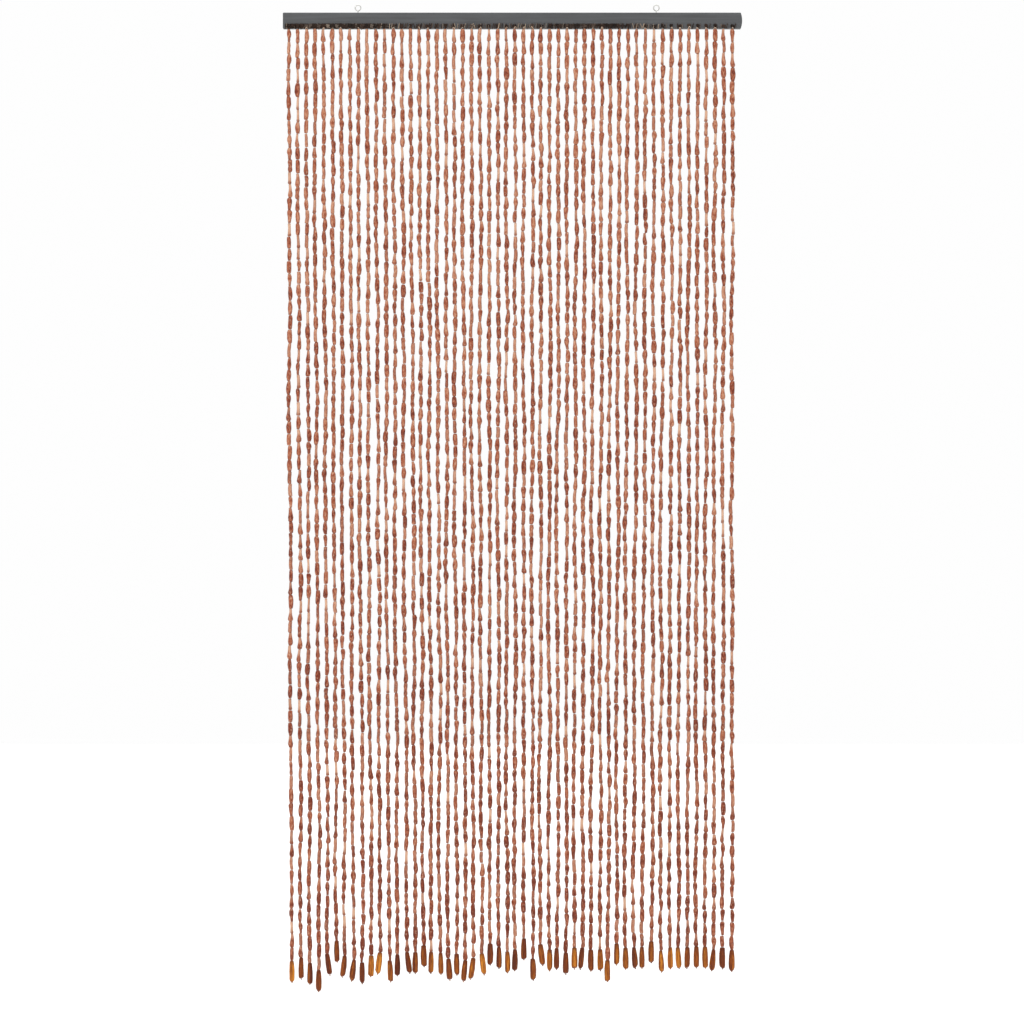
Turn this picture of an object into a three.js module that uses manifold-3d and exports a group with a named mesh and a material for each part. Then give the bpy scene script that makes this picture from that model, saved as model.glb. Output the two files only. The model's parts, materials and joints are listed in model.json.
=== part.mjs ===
// Bead curtain for a doorway: 52 strings of wooden beads that hang from a painted batten with two screw eyes.
// Millimetres, +Z up, +X to the right as seen from the front, and the front faces -Y.
// The origin is on the line through the two eyes, half way along the batten and half way through its depth.

import * as THREE from 'three';
import { mergeVertices } from 'three/addons/utils/BufferGeometryUtils.js';
import Module from 'manifold-3d';

// Driving dimensions

const BATTEN = {
  length: 900,
  height: 31.5,
  depth: 16,
  cornerRadius: 2, // of the four corners, seen from the front
  arris: 1.5, // of the long edges
  endBow: 2.2, // how far the right end bulges
};

const EYE = {
  wire: 2.2, // diameter of the wire
  ringOuter: 13, // diameter of the ring over the wire
  rise: 10, // from the batten's top face to the ring's centre
  neckRadius: 2.5, // of the bend from the ring into the shank
  mouth: 1.2, // gap between the wire's free end and the bend
  screwDepth: 14, // length of the shank inside the batten
  point: 4, // length of the shank's taper
  bore: 2.9, // diameter of the hole in the batten
  boreDepth: 15,
};
const EYE_PLACES = [
  { name: 'screw_eye_left', x: -303, mouthSide: -1 },
  { name: 'screw_eye_right', x: 282, mouthSide: 1 },
];

const HEADING = {
  clearance: 0.3, // from the cord to the batten's front face
  thickness: 2.4, // of the knotted cord
  height: 10.2,
  overhang: 0.5, // below the batten's bottom
  margin: 7, // past the first and last string
};

const STRINGS = {
  count: 52,
  firstX: -438.4,
  pitch: 17.04,
  side: 6.8, // across the flats of a strand, the mean width of its beads
  sideSpread: 0.9, // how much the width varies up and down
  wander: 2.3, // how far a strand strays sideways
  sway: 1.1, // how far it strays to the front and back, and its foot to each side
  rootSide: 1.9, // across the flats of its root, the thread alone
  rootDepth: 1.5, // how far the root is sunk into the heading
  rootShow: 0.3, // how far the root shows below the heading
  shoulder: 0.6, // from the root down to the strand's full width
  stretches: 13, // spans between the heading and the end bead
};

const END_BEAD = { length: 43, side: 10.6, neck: 3.6, neckLength: 4 };

// Outline of an end bead: how far down its length, and how wide there as a share of its full width.
const END_BEAD_OUTLINE = [
  { down: 0.0, wide: 0.55 },
  { down: 0.07, wide: 0.88 },
  { down: 0.3, wide: 1.0 },
  { down: 0.62, wide: 0.97 },
  { down: 0.88, wide: 0.66 },
  { down: 0.94, wide: 0.3 },
  { down: 1.0, wide: 0.22 },
];

// The hem: how far the tips hang below the batten's top, at strings spread along the batten.
const HEM = [
  { string: 1, drop: 1898 },
  { string: 8, drop: 1888 },
  { string: 16, drop: 1883 },
  { string: 23, drop: 1886 },
  { string: 30, drop: 1877 },
  { string: 38, drop: 1875 },
  { string: 45, drop: 1872 },
  { string: 52, drop: 1877 },
];

// Strings that end lower or higher than the hem, or whose end bead leans to a side.
const STRAYS = [
  { string: 3, lower: 9, lean: 0 },
  { string: 4, lower: 25, lean: 0 },
  { string: 5, lower: -6, lean: 6 },
  { string: 6, lower: -30, lean: 1 },
  { string: 7, lower: 1, lean: -5 },
  { string: 8, lower: 10, lean: -5 },
  { string: 9, lower: 16, lean: 0 },
  { string: 11, lower: -2, lean: -5 },
  { string: 12, lower: 14, lean: 2 },
  { string: 14, lower: -1, lean: 6 },
  { string: 16, lower: -13, lean: 1 },
  { string: 19, lower: 12, lean: 3 },
  { string: 21, lower: 14, lean: -4 },
  { string: 22, lower: 9, lean: -6 },
  { string: 23, lower: 0, lean: 5 },
  { string: 24, lower: -18, lean: 0 },
  { string: 25, lower: -10, lean: 0 },
  { string: 28, lower: -23, lean: 0 },
  { string: 29, lower: 18, lean: 1 },
  { string: 30, lower: -9, lean: 5 },
  { string: 33, lower: 8, lean: 0 },
  { string: 35, lower: -1, lean: -4 },
  { string: 38, lower: 24, lean: 0 },
  { string: 39, lower: -8, lean: 0 },
  { string: 41, lower: 0, lean: 3 },
  { string: 43, lower: -11, lean: 0 },
  { string: 44, lower: 8, lean: 2 },
  { string: 46, lower: 1, lean: 3 },
  { string: 50, lower: 2, lean: -4 },
];

// How far the feet of the strings have drawn sideways, along the curtain from its first string to its last.
const DRAW_IN = [
  { along: 0.0, shift: 7 },
  { along: 0.25, shift: 9 },
  { along: 0.5, shift: 1 },
  { along: 0.75, shift: -6 },
  { along: 1.0, shift: -2 },
];

const COLOURS = {
  paint: 0x5c6062,
  steel: 0xc9c9c6,
  bead: 0xa85f45,
};

// Places worked out from the sizes

const battenTop = -EYE.rise;
const battenBottom = battenTop - BATTEN.height;
const battenFront = -BATTEN.depth / 2;
const headingBottom = battenBottom - HEADING.overhang;
const stringsY = battenFront - HEADING.clearance - HEADING.thickness / 2;

// Small helpers

function stationValue(rows, key, value, at) {
  const after = rows.findIndex((row) => row[key] >= at);
  if (after <= 0) {
    return rows[Math.max(after, 0)][value];
  }
  const low = rows[after - 1];
  const high = rows[after];
  const share = (at - low[key]) / (high[key] - low[key]);
  return THREE.MathUtils.lerp(low[value], high[value], share);
}

// A repeatable number from -1 to 1 for a string and a place on it.
function scatter(string, place) {
  const wave = Math.sin(string * 12.9898 + place * 78.233) * 43758.5453;
  return 2 * (wave - Math.floor(wave)) - 1;
}

const wasm = await Module();
wasm.setup();

function toSolid(geometry) {
  const bare = geometry.index ? geometry.toNonIndexed() : geometry.clone();
  bare.deleteAttribute('normal');
  bare.deleteAttribute('uv');
  const merged = mergeVertices(bare, 1e-4);
  return new wasm.Manifold(
    new wasm.Mesh({
      numProp: 3,
      vertProperties: new Float32Array(merged.attributes.position.array),
      triVerts: new Uint32Array(merged.index.array),
    }),
  );
}

function toGeometry(solid) {
  const mesh = solid.getMesh();
  const geometry = new THREE.BufferGeometry();
  geometry.setAttribute('position', new THREE.BufferAttribute(new Float32Array(mesh.vertProperties), 3));
  geometry.setIndex(new THREE.BufferAttribute(new Uint32Array(mesh.triVerts), 1));
  geometry.computeVertexNormals();
  return geometry;
}

function finish(colour, roughness, metalness) {
  return new THREE.MeshStandardMaterial({ color: colour, roughness, metalness });
}

// Batten

function battenGeometry() {
  const halfLength = BATTEN.length / 2 - BATTEN.arris;
  const halfHeight = BATTEN.height / 2 - BATTEN.arris;
  const radius = BATTEN.cornerRadius - BATTEN.arris;
  const rightEdge = halfLength - BATTEN.endBow;
  const outline = new THREE.Shape();
  outline.moveTo(-halfLength + radius, -halfHeight);
  outline.lineTo(rightEdge - radius, -halfHeight);
  outline.absarc(rightEdge - radius, -halfHeight + radius, radius, -Math.PI / 2, 0);
  outline.quadraticCurveTo(halfLength + BATTEN.endBow, 0, rightEdge, halfHeight - radius);
  outline.absarc(rightEdge - radius, halfHeight - radius, radius, 0, Math.PI / 2);
  outline.lineTo(-halfLength + radius, halfHeight);
  outline.absarc(-halfLength + radius, halfHeight - radius, radius, Math.PI / 2, Math.PI);
  outline.lineTo(-halfLength, -halfHeight + radius);
  outline.absarc(-halfLength + radius, -halfHeight + radius, radius, Math.PI, Math.PI * 1.5);
  const bar = new THREE.ExtrudeGeometry(outline, {
    depth: BATTEN.depth - 2 * BATTEN.arris,
    curveSegments: 6,
    bevelEnabled: true,
    bevelThickness: BATTEN.arris,
    bevelSize: BATTEN.arris,
    bevelSegments: 3,
  });
  bar.translate(0, 0, -(BATTEN.depth / 2 - BATTEN.arris));
  bar.rotateX(Math.PI / 2);
  bar.translate(0, 0, (battenTop + battenBottom) / 2);

  let solid = toSolid(bar);
  for (const place of EYE_PLACES) {
    const bore = new THREE.CylinderGeometry(EYE.bore / 2, EYE.bore / 2, 2 * EYE.boreDepth, 16);
    bore.rotateX(Math.PI / 2);
    bore.translate(place.x, 0, battenTop);
    solid = solid.subtract(toSolid(bore));
  }
  return toGeometry(solid);
}

// Screw eye: one wire that runs round the ring, bends back under it and goes straight down as the shank

class EyeWire extends THREE.Curve {
  constructor(mouthSide) {
    super();
    this.mouthSide = mouthSide;
    this.ring = (EYE.ringOuter - EYE.wire) / 2;
    const reach = this.ring + EYE.neckRadius;
    this.neckTurn = Math.acos(EYE.neckRadius / reach);
    this.neckDrop = reach * Math.sin(this.neckTurn);
    this.ringEnd = Math.PI / 2 - this.neckTurn;
    this.ringTurn = 2 * Math.PI - (EYE.mouth + EYE.wire) / this.ring;
    this.ringLength = this.ring * this.ringTurn;
    this.neckLength = EYE.neckRadius * this.neckTurn;
    this.shankLength = EYE.rise + EYE.screwDepth - this.neckDrop;
  }

  getPoint(share, target = new THREE.Vector3()) {
    const along = share * (this.ringLength + this.neckLength + this.shankLength);
    const pastRing = along - this.ringLength;
    const pastNeck = pastRing - this.neckLength;
    if (pastNeck > 0) {
      return target.set(0, 0, -this.neckDrop - pastNeck);
    }
    if (pastRing > 0) {
      const left = this.neckTurn - pastRing / EYE.neckRadius;
      const aside = EYE.neckRadius * (1 - Math.cos(left));
      return target.set(this.mouthSide * -aside, 0, EYE.neckRadius * Math.sin(left) - this.neckDrop);
    }
    const left = this.ringEnd - pastRing / this.ring;
    return target.set(this.mouthSide * -this.ring * Math.sin(left), 0, -this.ring * Math.cos(left));
  }
}

function eyeGeometry(mouthSide) {
  const wire = new THREE.Shape();
  wire.absarc(0, 0, EYE.wire / 2, 0, Math.PI * 2);
  const eye = new THREE.ExtrudeGeometry(wire, {
    steps: 44,
    curveSegments: 4,
    extrudePath: new EyeWire(mouthSide),
  });
  const points = eye.attributes.position;
  const pointTop = EYE.point - EYE.rise - EYE.screwDepth;
  for (let i = 0; i < points.count; i += 1) {
    const down = Math.max(0, pointTop - points.getZ(i)) / EYE.point;
    const slim = 1 - 0.7 * down;
    points.setXYZ(i, points.getX(i) * slim, points.getY(i) * slim, points.getZ(i));
  }
  return eye;
}

// Strings

function tipDrop(string) {
  const stray = STRAYS.find((row) => row.string === string);
  const usual = stationValue(HEM, 'string', 'drop', string);
  return stray ? usual + stray.lower : usual + 3 * scatter(string, 0);
}

function endLean(string) {
  const stray = STRAYS.find((row) => row.string === string);
  return stray ? stray.lean : scatter(string, 1);
}

// Rows down one strand, each with its height, its centre and its width across the flats.
function strandRows(string) {
  const rootX = STRINGS.firstX + STRINGS.pitch * (string - 1);
  const along = (string - 1) / (STRINGS.count - 1);
  const footX = rootX + stationValue(DRAW_IN, 'along', 'shift', along) + scatter(string, 2);
  const tipZ = battenTop - tipDrop(string);
  const beadTop = tipZ + END_BEAD.length;
  const neckTop = beadTop + END_BEAD.neckLength;
  const rootFoot = headingBottom - STRINGS.rootShow;
  const rows = [
    { z: headingBottom + STRINGS.rootDepth, x: rootX, y: stringsY, side: STRINGS.rootSide },
    { z: rootFoot, x: rootX, y: stringsY, side: STRINGS.rootSide },
  ];
  for (let i = 0; i <= STRINGS.stretches; i += 1) {
    const share = i / STRINGS.stretches;
    const loose = Math.min(1, 4 * share);
    const aside = i < STRINGS.stretches ? STRINGS.wander : STRINGS.sway;
    const fromFoot = STRINGS.stretches - i;
    rows.push({
      z: THREE.MathUtils.lerp(rootFoot - STRINGS.shoulder, neckTop, share),
      x: THREE.MathUtils.lerp(rootX, footX, share) + loose * aside * scatter(string, 19 - fromFoot),
      y: stringsY + loose * STRINGS.sway * scatter(string, 39 - fromFoot),
      side: STRINGS.side + (i > 0 ? STRINGS.sideSpread * scatter(string, 59 - fromFoot) : 0),
    });
  }
  const foot = rows[rows.length - 1];
  const neck = { z: (beadTop + neckTop) / 2, x: foot.x, y: foot.y, side: END_BEAD.neck };
  rows.push(neck);
  for (const row of END_BEAD_OUTLINE) {
    rows.push({
      z: beadTop - row.down * END_BEAD.length,
      x: foot.x + endLean(string) * row.down,
      y: foot.y,
      side: END_BEAD.side * row.wide,
    });
  }
  return rows;
}

// A lathe of four sides, whose rings are then moved to the strand's rows.
function strandGeometry(string) {
  const rows = strandRows(string);
  const profile = [new THREE.Vector2(0, 0)];
  rows.forEach((row, index) => profile.push(new THREE.Vector2(row.side * Math.SQRT1_2, index)));
  profile.push(new THREE.Vector2(0, rows.length - 1));
  const lathe = new THREE.LatheGeometry(profile, 4, Math.PI / 4);
  const points = lathe.attributes.position;
  for (let i = 0; i < points.count; i += 1) {
    const row = rows[Math.round(points.getY(i))];
    points.setXYZ(i, points.getX(i) + row.x, points.getZ(i) + row.y, row.z);
  }
  return lathe;
}

function headingGeometry() {
  const length = (STRINGS.count - 1) * STRINGS.pitch + 2 * HEADING.margin;
  const strip = new THREE.BoxGeometry(length, HEADING.thickness, HEADING.height);
  const middleX = STRINGS.firstX + ((STRINGS.count - 1) * STRINGS.pitch) / 2;
  strip.translate(middleX, stringsY, headingBottom + HEADING.height / 2);
  return strip;
}

function stringCurtainGeometry() {
  const pieces = [toSolid(headingGeometry())];
  for (let string = 1; string <= STRINGS.count; string += 1) {
    pieces.push(toSolid(strandGeometry(string)));
  }
  return toGeometry(wasm.Manifold.union(pieces));
}

// Assembly

const curtain = new THREE.Group();

function add(name, geometry, material) {
  const mesh = new THREE.Mesh(geometry, material);
  mesh.name = name;
  curtain.add(mesh);
  return mesh;
}

add('header_batten', battenGeometry(), finish(COLOURS.paint, 0.6, 0));

const steel = finish(COLOURS.steel, 0.35, 0.9);
for (const place of EYE_PLACES) {
  add(place.name, eyeGeometry(place.mouthSide), steel).position.set(place.x, 0, 0);
}

add('string_curtain', stringCurtainGeometry(), finish(COLOURS.bead, 0.5, 0));

export default curtain;
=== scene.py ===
"""Looks of a doorway bead curtain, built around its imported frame.

The frame gives the batten, the two screw eyes and the line of every string. This script paints the batten,
bends finer screw eyes, ties the dark heading cord, threads the small beads on their strings and hangs one
long bead on the foot of each. Metres, +Z up, +X to the right as seen from the front, and the front faces -Y.
"""

from __future__ import annotations

import json
import logging
import math
import random
from collections import defaultdict
from collections.abc import Iterable, Sequence
from dataclasses import dataclass, field
from enum import Enum

import bmesh
import bpy
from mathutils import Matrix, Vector

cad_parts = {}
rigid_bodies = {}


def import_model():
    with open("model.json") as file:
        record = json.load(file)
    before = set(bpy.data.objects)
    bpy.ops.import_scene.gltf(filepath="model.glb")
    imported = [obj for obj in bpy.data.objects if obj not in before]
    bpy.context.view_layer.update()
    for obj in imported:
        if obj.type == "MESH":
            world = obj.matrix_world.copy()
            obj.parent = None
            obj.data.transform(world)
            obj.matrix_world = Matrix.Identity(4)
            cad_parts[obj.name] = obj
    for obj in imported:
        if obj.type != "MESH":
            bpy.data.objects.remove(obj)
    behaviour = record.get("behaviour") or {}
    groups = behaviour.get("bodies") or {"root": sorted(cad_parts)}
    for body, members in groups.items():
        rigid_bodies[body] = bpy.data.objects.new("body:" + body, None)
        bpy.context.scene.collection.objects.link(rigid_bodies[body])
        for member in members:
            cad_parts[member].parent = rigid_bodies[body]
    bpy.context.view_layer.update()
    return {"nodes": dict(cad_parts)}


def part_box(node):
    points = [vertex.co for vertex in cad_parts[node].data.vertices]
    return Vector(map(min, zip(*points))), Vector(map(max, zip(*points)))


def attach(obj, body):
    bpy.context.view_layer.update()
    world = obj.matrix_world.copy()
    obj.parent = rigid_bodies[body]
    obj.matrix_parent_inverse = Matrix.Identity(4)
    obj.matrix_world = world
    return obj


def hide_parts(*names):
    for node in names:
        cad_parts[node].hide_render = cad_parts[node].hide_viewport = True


Colour = tuple[float, float, float]
Value = bpy.types.NodeSocket | bpy.types.ID | float | int | bool | str | tuple | None

BODY = "root"
DOWN = Vector((0.0, 0.0, -1.0))
LOG = logging.getLogger("bead_curtain")


def mm(value: float) -> float:
    """Returns a size given in millimetres, in metres."""
    return value / 1000.0


def linear(colour: Colour, alpha: float = 1.0) -> tuple[float, float, float, float]:
    """Turns a screen colour into the linear one that a shader takes.

    Args:
        colour: Red, green and blue from 0 to 255.
        alpha: Opacity from 0 to 1.

    Returns:
        Red, green, blue and alpha, linear.
    """
    shares = [channel / 255.0 for channel in colour]
    red, green, blue = (s / 12.92 if s <= 0.04045 else ((s + 0.055) / 1.055) ** 2.4 for s in shares)
    return red, green, blue, alpha


# Node trees


class Wiring:
    """Adds nodes to one tree and links them as it goes."""

    def __init__(self, tree: bpy.types.NodeTree) -> None:
        """Keeps the tree that the nodes go into."""
        self.tree = tree

    @staticmethod
    def socket(node: bpy.types.Node, key: str | int) -> bpy.types.NodeSocket:
        """Finds an input of a node.

        Args:
            node: The node.
            key: The input's place, its identifier or its name.

        Returns:
            The input socket.
        """
        by_identifier = {socket.identifier: socket for socket in node.inputs}
        return by_identifier.get(key) or node.inputs[key]

    def add(self, kind: str, feeds: dict | None = None, **settings: Value) -> bpy.types.Node:
        """Adds a node, sets it and feeds its inputs.

        Args:
            kind: Blender's name for the node's type.
            feeds: For each input, a socket to link to it or a value to set on it.
            **settings: The node's own properties.

        Returns:
            The new node.
        """
        node = self.tree.nodes.new(kind)
        for name, value in settings.items():
            setattr(node, name, value)
        for key, value in (feeds or {}).items():
            socket = self.socket(node, key)
            if isinstance(value, bpy.types.NodeSocket):
                self.tree.links.new(value, socket)
            else:
                socket.default_value = value
        return node

    def math(self, operation: str, *values: Value) -> bpy.types.NodeSocket:
        """Adds a sum of one or more values, and returns its result."""
        return self.add("ShaderNodeMath", dict(enumerate(values)), operation=operation).outputs[0]

    def vector(self, x: Value = 0.0, y: Value = 0.0, z: Value = 0.0) -> bpy.types.NodeSocket:
        """Joins three values, and returns the vector."""
        return self.add("ShaderNodeCombineXYZ", {"X": x, "Y": y, "Z": z}).outputs[0]

    def spread(
        self, value: Value, low: float, high: float, out_low: float, out_high: float
    ) -> bpy.types.NodeSocket:
        """Stretches one span of values onto another, held at its ends, and returns the result."""
        ends = {"From Min": low, "From Max": high, "To Min": out_low, "To Max": out_high}
        return self.add("ShaderNodeMapRange", {"Value": value, **ends}).outputs[0]

    @staticmethod
    def result(node: bpy.types.Node, identifier: str) -> bpy.types.NodeSocket:
        """Returns the output of a node that has that identifier."""
        return next(socket for socket in node.outputs if socket.identifier == identifier)


class InputKind(Enum):
    """What a named input of a recipe holds."""

    NUMBER = "NodeSocketFloat"
    COUNT = "NodeSocketInt"
    FORMS = "NodeSocketCollection"
    STAIN = "NodeSocketMaterial"


class Recipe(Wiring):
    """A Geometry Nodes tree with named inputs, which turns a carrier mesh into a finished one."""

    def __init__(self, name: str) -> None:
        """Makes the empty tree with its geometry input and output."""
        super().__init__(bpy.data.node_groups.new(name, "GeometryNodeTree"))
        self.tree.interface.new_socket("Geometry", in_out="INPUT", socket_type="NodeSocketGeometry")
        self.tree.interface.new_socket("Geometry", in_out="OUTPUT", socket_type="NodeSocketGeometry")
        self.inlet = self.add("NodeGroupInput")
        self.outlet = self.add("NodeGroupOutput")
        self.draws = 0

    def named(self, name: str, kind: InputKind = InputKind.NUMBER) -> bpy.types.NodeSocket:
        """Adds a named input to the recipe, and returns the socket that gives its value."""
        self.tree.interface.new_socket(name, in_out="INPUT", socket_type=kind.value)
        return self.inlet.outputs[name]

    def draw(self, low: Value, high: Value, seed: Value, whole: bool = False, of: Value = None) -> Value:
        """Adds a random value that differs from every other draw in the recipe.

        Args:
            low: The lowest value.
            high: The highest value.
            seed: The recipe's seed input.
            whole: True for a whole number.
            of: What each value is drawn for, or None for each point.

        Returns:
            The socket that gives the value.
        """
        self.draws += 1
        ending = "_002" if whole else "_001"
        feeds = {"Min" + ending: low, "Max" + ending: high, "Seed": self.math("ADD", seed, 101 * self.draws)}
        if of is not None:
            feeds["ID"] = of
        node = self.add("FunctionNodeRandomValue", feeds, data_type="INT" if whole else "FLOAT")
        return self.result(node, "Value" + ending)

    def store(self, geometry: Value, name: str, value: Value, domain: str = "POINT") -> Value:
        """Keeps a value on each element of a geometry.

        Args:
            geometry: The geometry.
            name: The name that the value is kept under.
            value: The value.
            domain: The kind of element that it is kept on.

        Returns:
            The geometry with the value.
        """
        feeds = {"Geometry": geometry, "Name": name, "Value": value}
        node = self.add("GeometryNodeStoreNamedAttribute", feeds, data_type="FLOAT", domain=domain)
        return node.outputs[0]

    def hang(
        self, points: Value, aim: Value, scale: Value, tilt: Value, spin: Value, seed: Value, forms: Value
    ) -> Value:
        """Sets one form on each point, with its foot along the aim, a little askew and turned by chance.

        Args:
            points: The points.
            aim: The way each form's foot points.
            scale: Each form's size along its own three axes.
            tilt: The most that a form leans off the aim, in radians.
            spin: The most that a form turns about the aim, in radians.
            seed: The recipe's seed input.
            forms: The collection of forms.

        Returns:
            The forms as instances, each with its own tone from 0 to 1.
        """
        feeds = {"Vector": aim, "Scale": -1.0}
        up = self.add("ShaderNodeVectorMath", feeds, operation="SCALE").outputs[0]
        aligned = self.add("FunctionNodeAlignRotationToVector", {"Vector": up}, axis="Z").outputs[0]
        lean = self.math("MULTIPLY", tilt, -1.0)
        askew = self.vector(
            self.draw(lean, tilt, seed),
            self.draw(lean, tilt, seed),
            self.draw(self.math("MULTIPLY", spin, -1.0), spin, seed),
        )
        turn = self.add("FunctionNodeEulerToRotation", {"Euler": askew}).outputs[0]
        feeds = {"Rotation": aligned, "Rotate By": turn}
        rotation = self.add("FunctionNodeRotateRotation", feeds, rotation_space="LOCAL").outputs[0]
        feeds = {"Collection": forms, "Separate Children": True, "Reset Children": True}
        kinds = self.add("GeometryNodeCollectionInfo", feeds).outputs[0]
        size = self.add("GeometryNodeAttributeDomainSize", {"Geometry": kinds}, component="INSTANCES")
        last = self.math("SUBTRACT", size.outputs["Instance Count"], 1)
        feeds = {
            "Points": points,
            "Instance": kinds,
            "Pick Instance": True,
            "Instance Index": self.draw(0, last, seed, whole=True),
            "Rotation": rotation,
            "Scale": scale,
        }
        placed = self.add("GeometryNodeInstanceOnPoints", feeds).outputs[0]
        return self.store(placed, "tone", self.draw(0.0, 1.0, seed), domain="INSTANCE")

    def close(self, geometry: Value, stain: Value) -> None:
        """Makes the geometry smooth, real and stained, and hands it to the output.

        Args:
            geometry: The geometry.
            stain: Its material.
        """
        smooth = self.add("GeometryNodeSetShadeSmooth", {"Geometry": geometry}).outputs[0]
        real = self.add("GeometryNodeRealizeInstances", {"Geometry": smooth}).outputs[0]
        dressed = self.add("GeometryNodeSetMaterial", {"Geometry": real, "Material": stain}).outputs[0]
        self.tree.links.new(dressed, self.outlet.inputs[0])

    def make(self, name: str, carrier: bpy.types.Mesh, values: dict[str, Value]) -> bpy.types.Object:
        """Runs the recipe on a carrier.

        Args:
            name: The new piece's name.
            carrier: The mesh that the recipe starts from.
            values: A value for each named input.

        Returns:
            The result as a plain mesh object in the scene.
        """
        holder = add_object(name + "_carrier", carrier)
        modifier = holder.modifiers.new("recipe", "NODES")
        modifier.node_group = self.tree
        for item in self.tree.interface.items_tree:
            if item.in_out == "INPUT" and item.name in values:
                modifier[item.identifier] = values[item.name]
        graph = bpy.context.evaluated_depsgraph_get()
        mesh = bpy.data.meshes.new_from_object(holder.evaluated_get(graph), depsgraph=graph)
        mesh.name = name
        bpy.data.objects.remove(holder)
        return add_object(name, mesh)

    def place(
        self, name: str, carrier: bpy.types.Mesh, forms: FormSet, values: dict[str, Value]
    ) -> bpy.types.Object:
        """Runs the recipe with a set of forms, and clears the set.

        Args:
            name: The new piece's name.
            carrier: The mesh that the recipe starts from.
            forms: The set of forms.
            values: A value for each other named input.

        Returns:
            The result as a plain mesh object in the scene.
        """
        piece = self.make(name, carrier, {**values, "Forms": forms.collection})
        forms.clear()
        return piece


# Meshes


def add_object(name: str, mesh: bpy.types.Mesh) -> bpy.types.Object:
    """Puts a mesh into the scene as an object at the origin.

    Args:
        name: The object's name.
        mesh: The mesh.

    Returns:
        The object.
    """
    made = bpy.data.objects.new(name, mesh)
    bpy.context.scene.collection.objects.link(made)
    return made


def mesh_of(name: str, points: Iterable[Vector], faces: Iterable[Sequence[int]]) -> bpy.types.Mesh:
    """Makes a smooth mesh.

    Args:
        name: The mesh's name.
        points: Its corners.
        faces: For each face, the places of its corners in the list.

    Returns:
        The mesh.
    """
    mesh = bpy.data.meshes.new(name)
    mesh.from_pydata([tuple(point) for point in points], [], list(faces))
    mesh.shade_smooth()
    mesh.update()
    return mesh


def keep_values(mesh: bpy.types.Mesh, name: str, values: Sequence[float]) -> None:
    """Keeps one number on each corner of a mesh under a name."""
    mesh.attributes.new(name, "FLOAT", "POINT").data.foreach_set("value", list(values))


def keep_vectors(mesh: bpy.types.Mesh, name: str, vectors: Iterable[Vector]) -> None:
    """Keeps one vector on each corner of a mesh under a name."""
    flat = [part for vector in vectors for part in vector]
    mesh.attributes.new(name, "FLOAT_VECTOR", "POINT").data.foreach_set("vector", flat)


def turned_mesh(name: str, rows: Sequence[Sequence[Vector]]) -> bpy.types.Mesh:
    """Makes a closed bead from rings of points, flat at both ends.

    Args:
        name: The mesh's name.
        rows: Rings of equal number of points, from the top ring down.

    Returns:
        The mesh.
    """
    sides = len(rows[0])
    points = [point for row in rows for point in row]
    faces = []
    for row in range(len(rows) - 1):
        for side in range(sides):
            here, there = row * sides + side, row * sides + (side + 1) % sides
            faces.append((here, here + sides, there + sides, there))
    faces.append(range(sides))
    faces.append(range(len(points) - 1, len(points) - 1 - sides, -1))
    return mesh_of(name, points, faces)


def swept_mesh(
    name: str, line: Sequence[Vector], radii: Sequence[float], sides: int, closed: bool
) -> bpy.types.Mesh:
    """Sweeps a round wire along a line.

    Args:
        name: The mesh's name.
        line: The wire's middle.
        radii: The wire's radius at each point of the line.
        sides: Faces round the wire.
        closed: True where the line's end joins its start.

    Returns:
        The mesh.
    """
    count = len(line)
    across = Vector((0.31, 0.87, 0.39))  # a way that no wire here starts along
    points = []
    for place, (middle, radius) in enumerate(zip(line, radii)):
        ahead = line[(place + 1) % count] if closed else line[min(place + 1, count - 1)]
        behind = line[place - 1] if closed else line[max(place - 1, 0)]
        along = (ahead - behind).normalized()
        across = (across - along * across.dot(along)).normalized()
        aside = along.cross(across)
        for side in range(sides):
            angle = 2 * math.pi * side / sides
            points.append(middle + radius * (math.cos(angle) * across + math.sin(angle) * aside))
    faces = []
    shift = nearest_corner(points[:sides], points[-sides:]) if closed else 0
    for ring in range(count if closed else count - 1):
        last = ring == count - 1
        for side in range(sides):
            far = (side + shift) % sides if last else side
            next_far = (side + 1 + shift) % sides if last else side + 1
            start = 0 if last else (ring + 1) * sides
            near, next_near = ring * sides + side, ring * sides + (side + 1) % sides
            faces.append((near, next_near, start + next_far % sides, start + far))
    if not closed:
        faces.append(tuple(reversed(range(sides))))
        faces.append(tuple((count - 1) * sides + side for side in range(sides)))
    return mesh_of(name, points, faces)


def nearest_corner(first: Sequence[Vector], last: Sequence[Vector]) -> int:
    """Returns which corner of the first ring lies nearest to the last ring's first corner."""
    return min(range(len(first)), key=lambda side: (first[side] - last[0]).length)


class FormSet:
    """A collection of forms that a recipe picks from. It stays out of the scene's own objects."""

    def __init__(self, name: str) -> None:
        """Makes the empty collection."""
        self.collection = bpy.data.collections.new(name)

    def put(self, mesh: bpy.types.Mesh, share: int = 1) -> None:
        """Adds a form to the set.

        Args:
            mesh: The form.
            share: How many times it goes in, which makes it picked more often.
        """
        for _ in range(share):
            name = f"{self.collection.name}_{len(self.collection.objects):02d}"
            self.collection.objects.link(bpy.data.objects.new(name, mesh))

    def clear(self) -> None:
        """Removes the forms once the pieces are made."""
        for form in list(self.collection.objects):
            bpy.data.objects.remove(form)
        bpy.data.collections.remove(self.collection)


# Finishes


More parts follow.
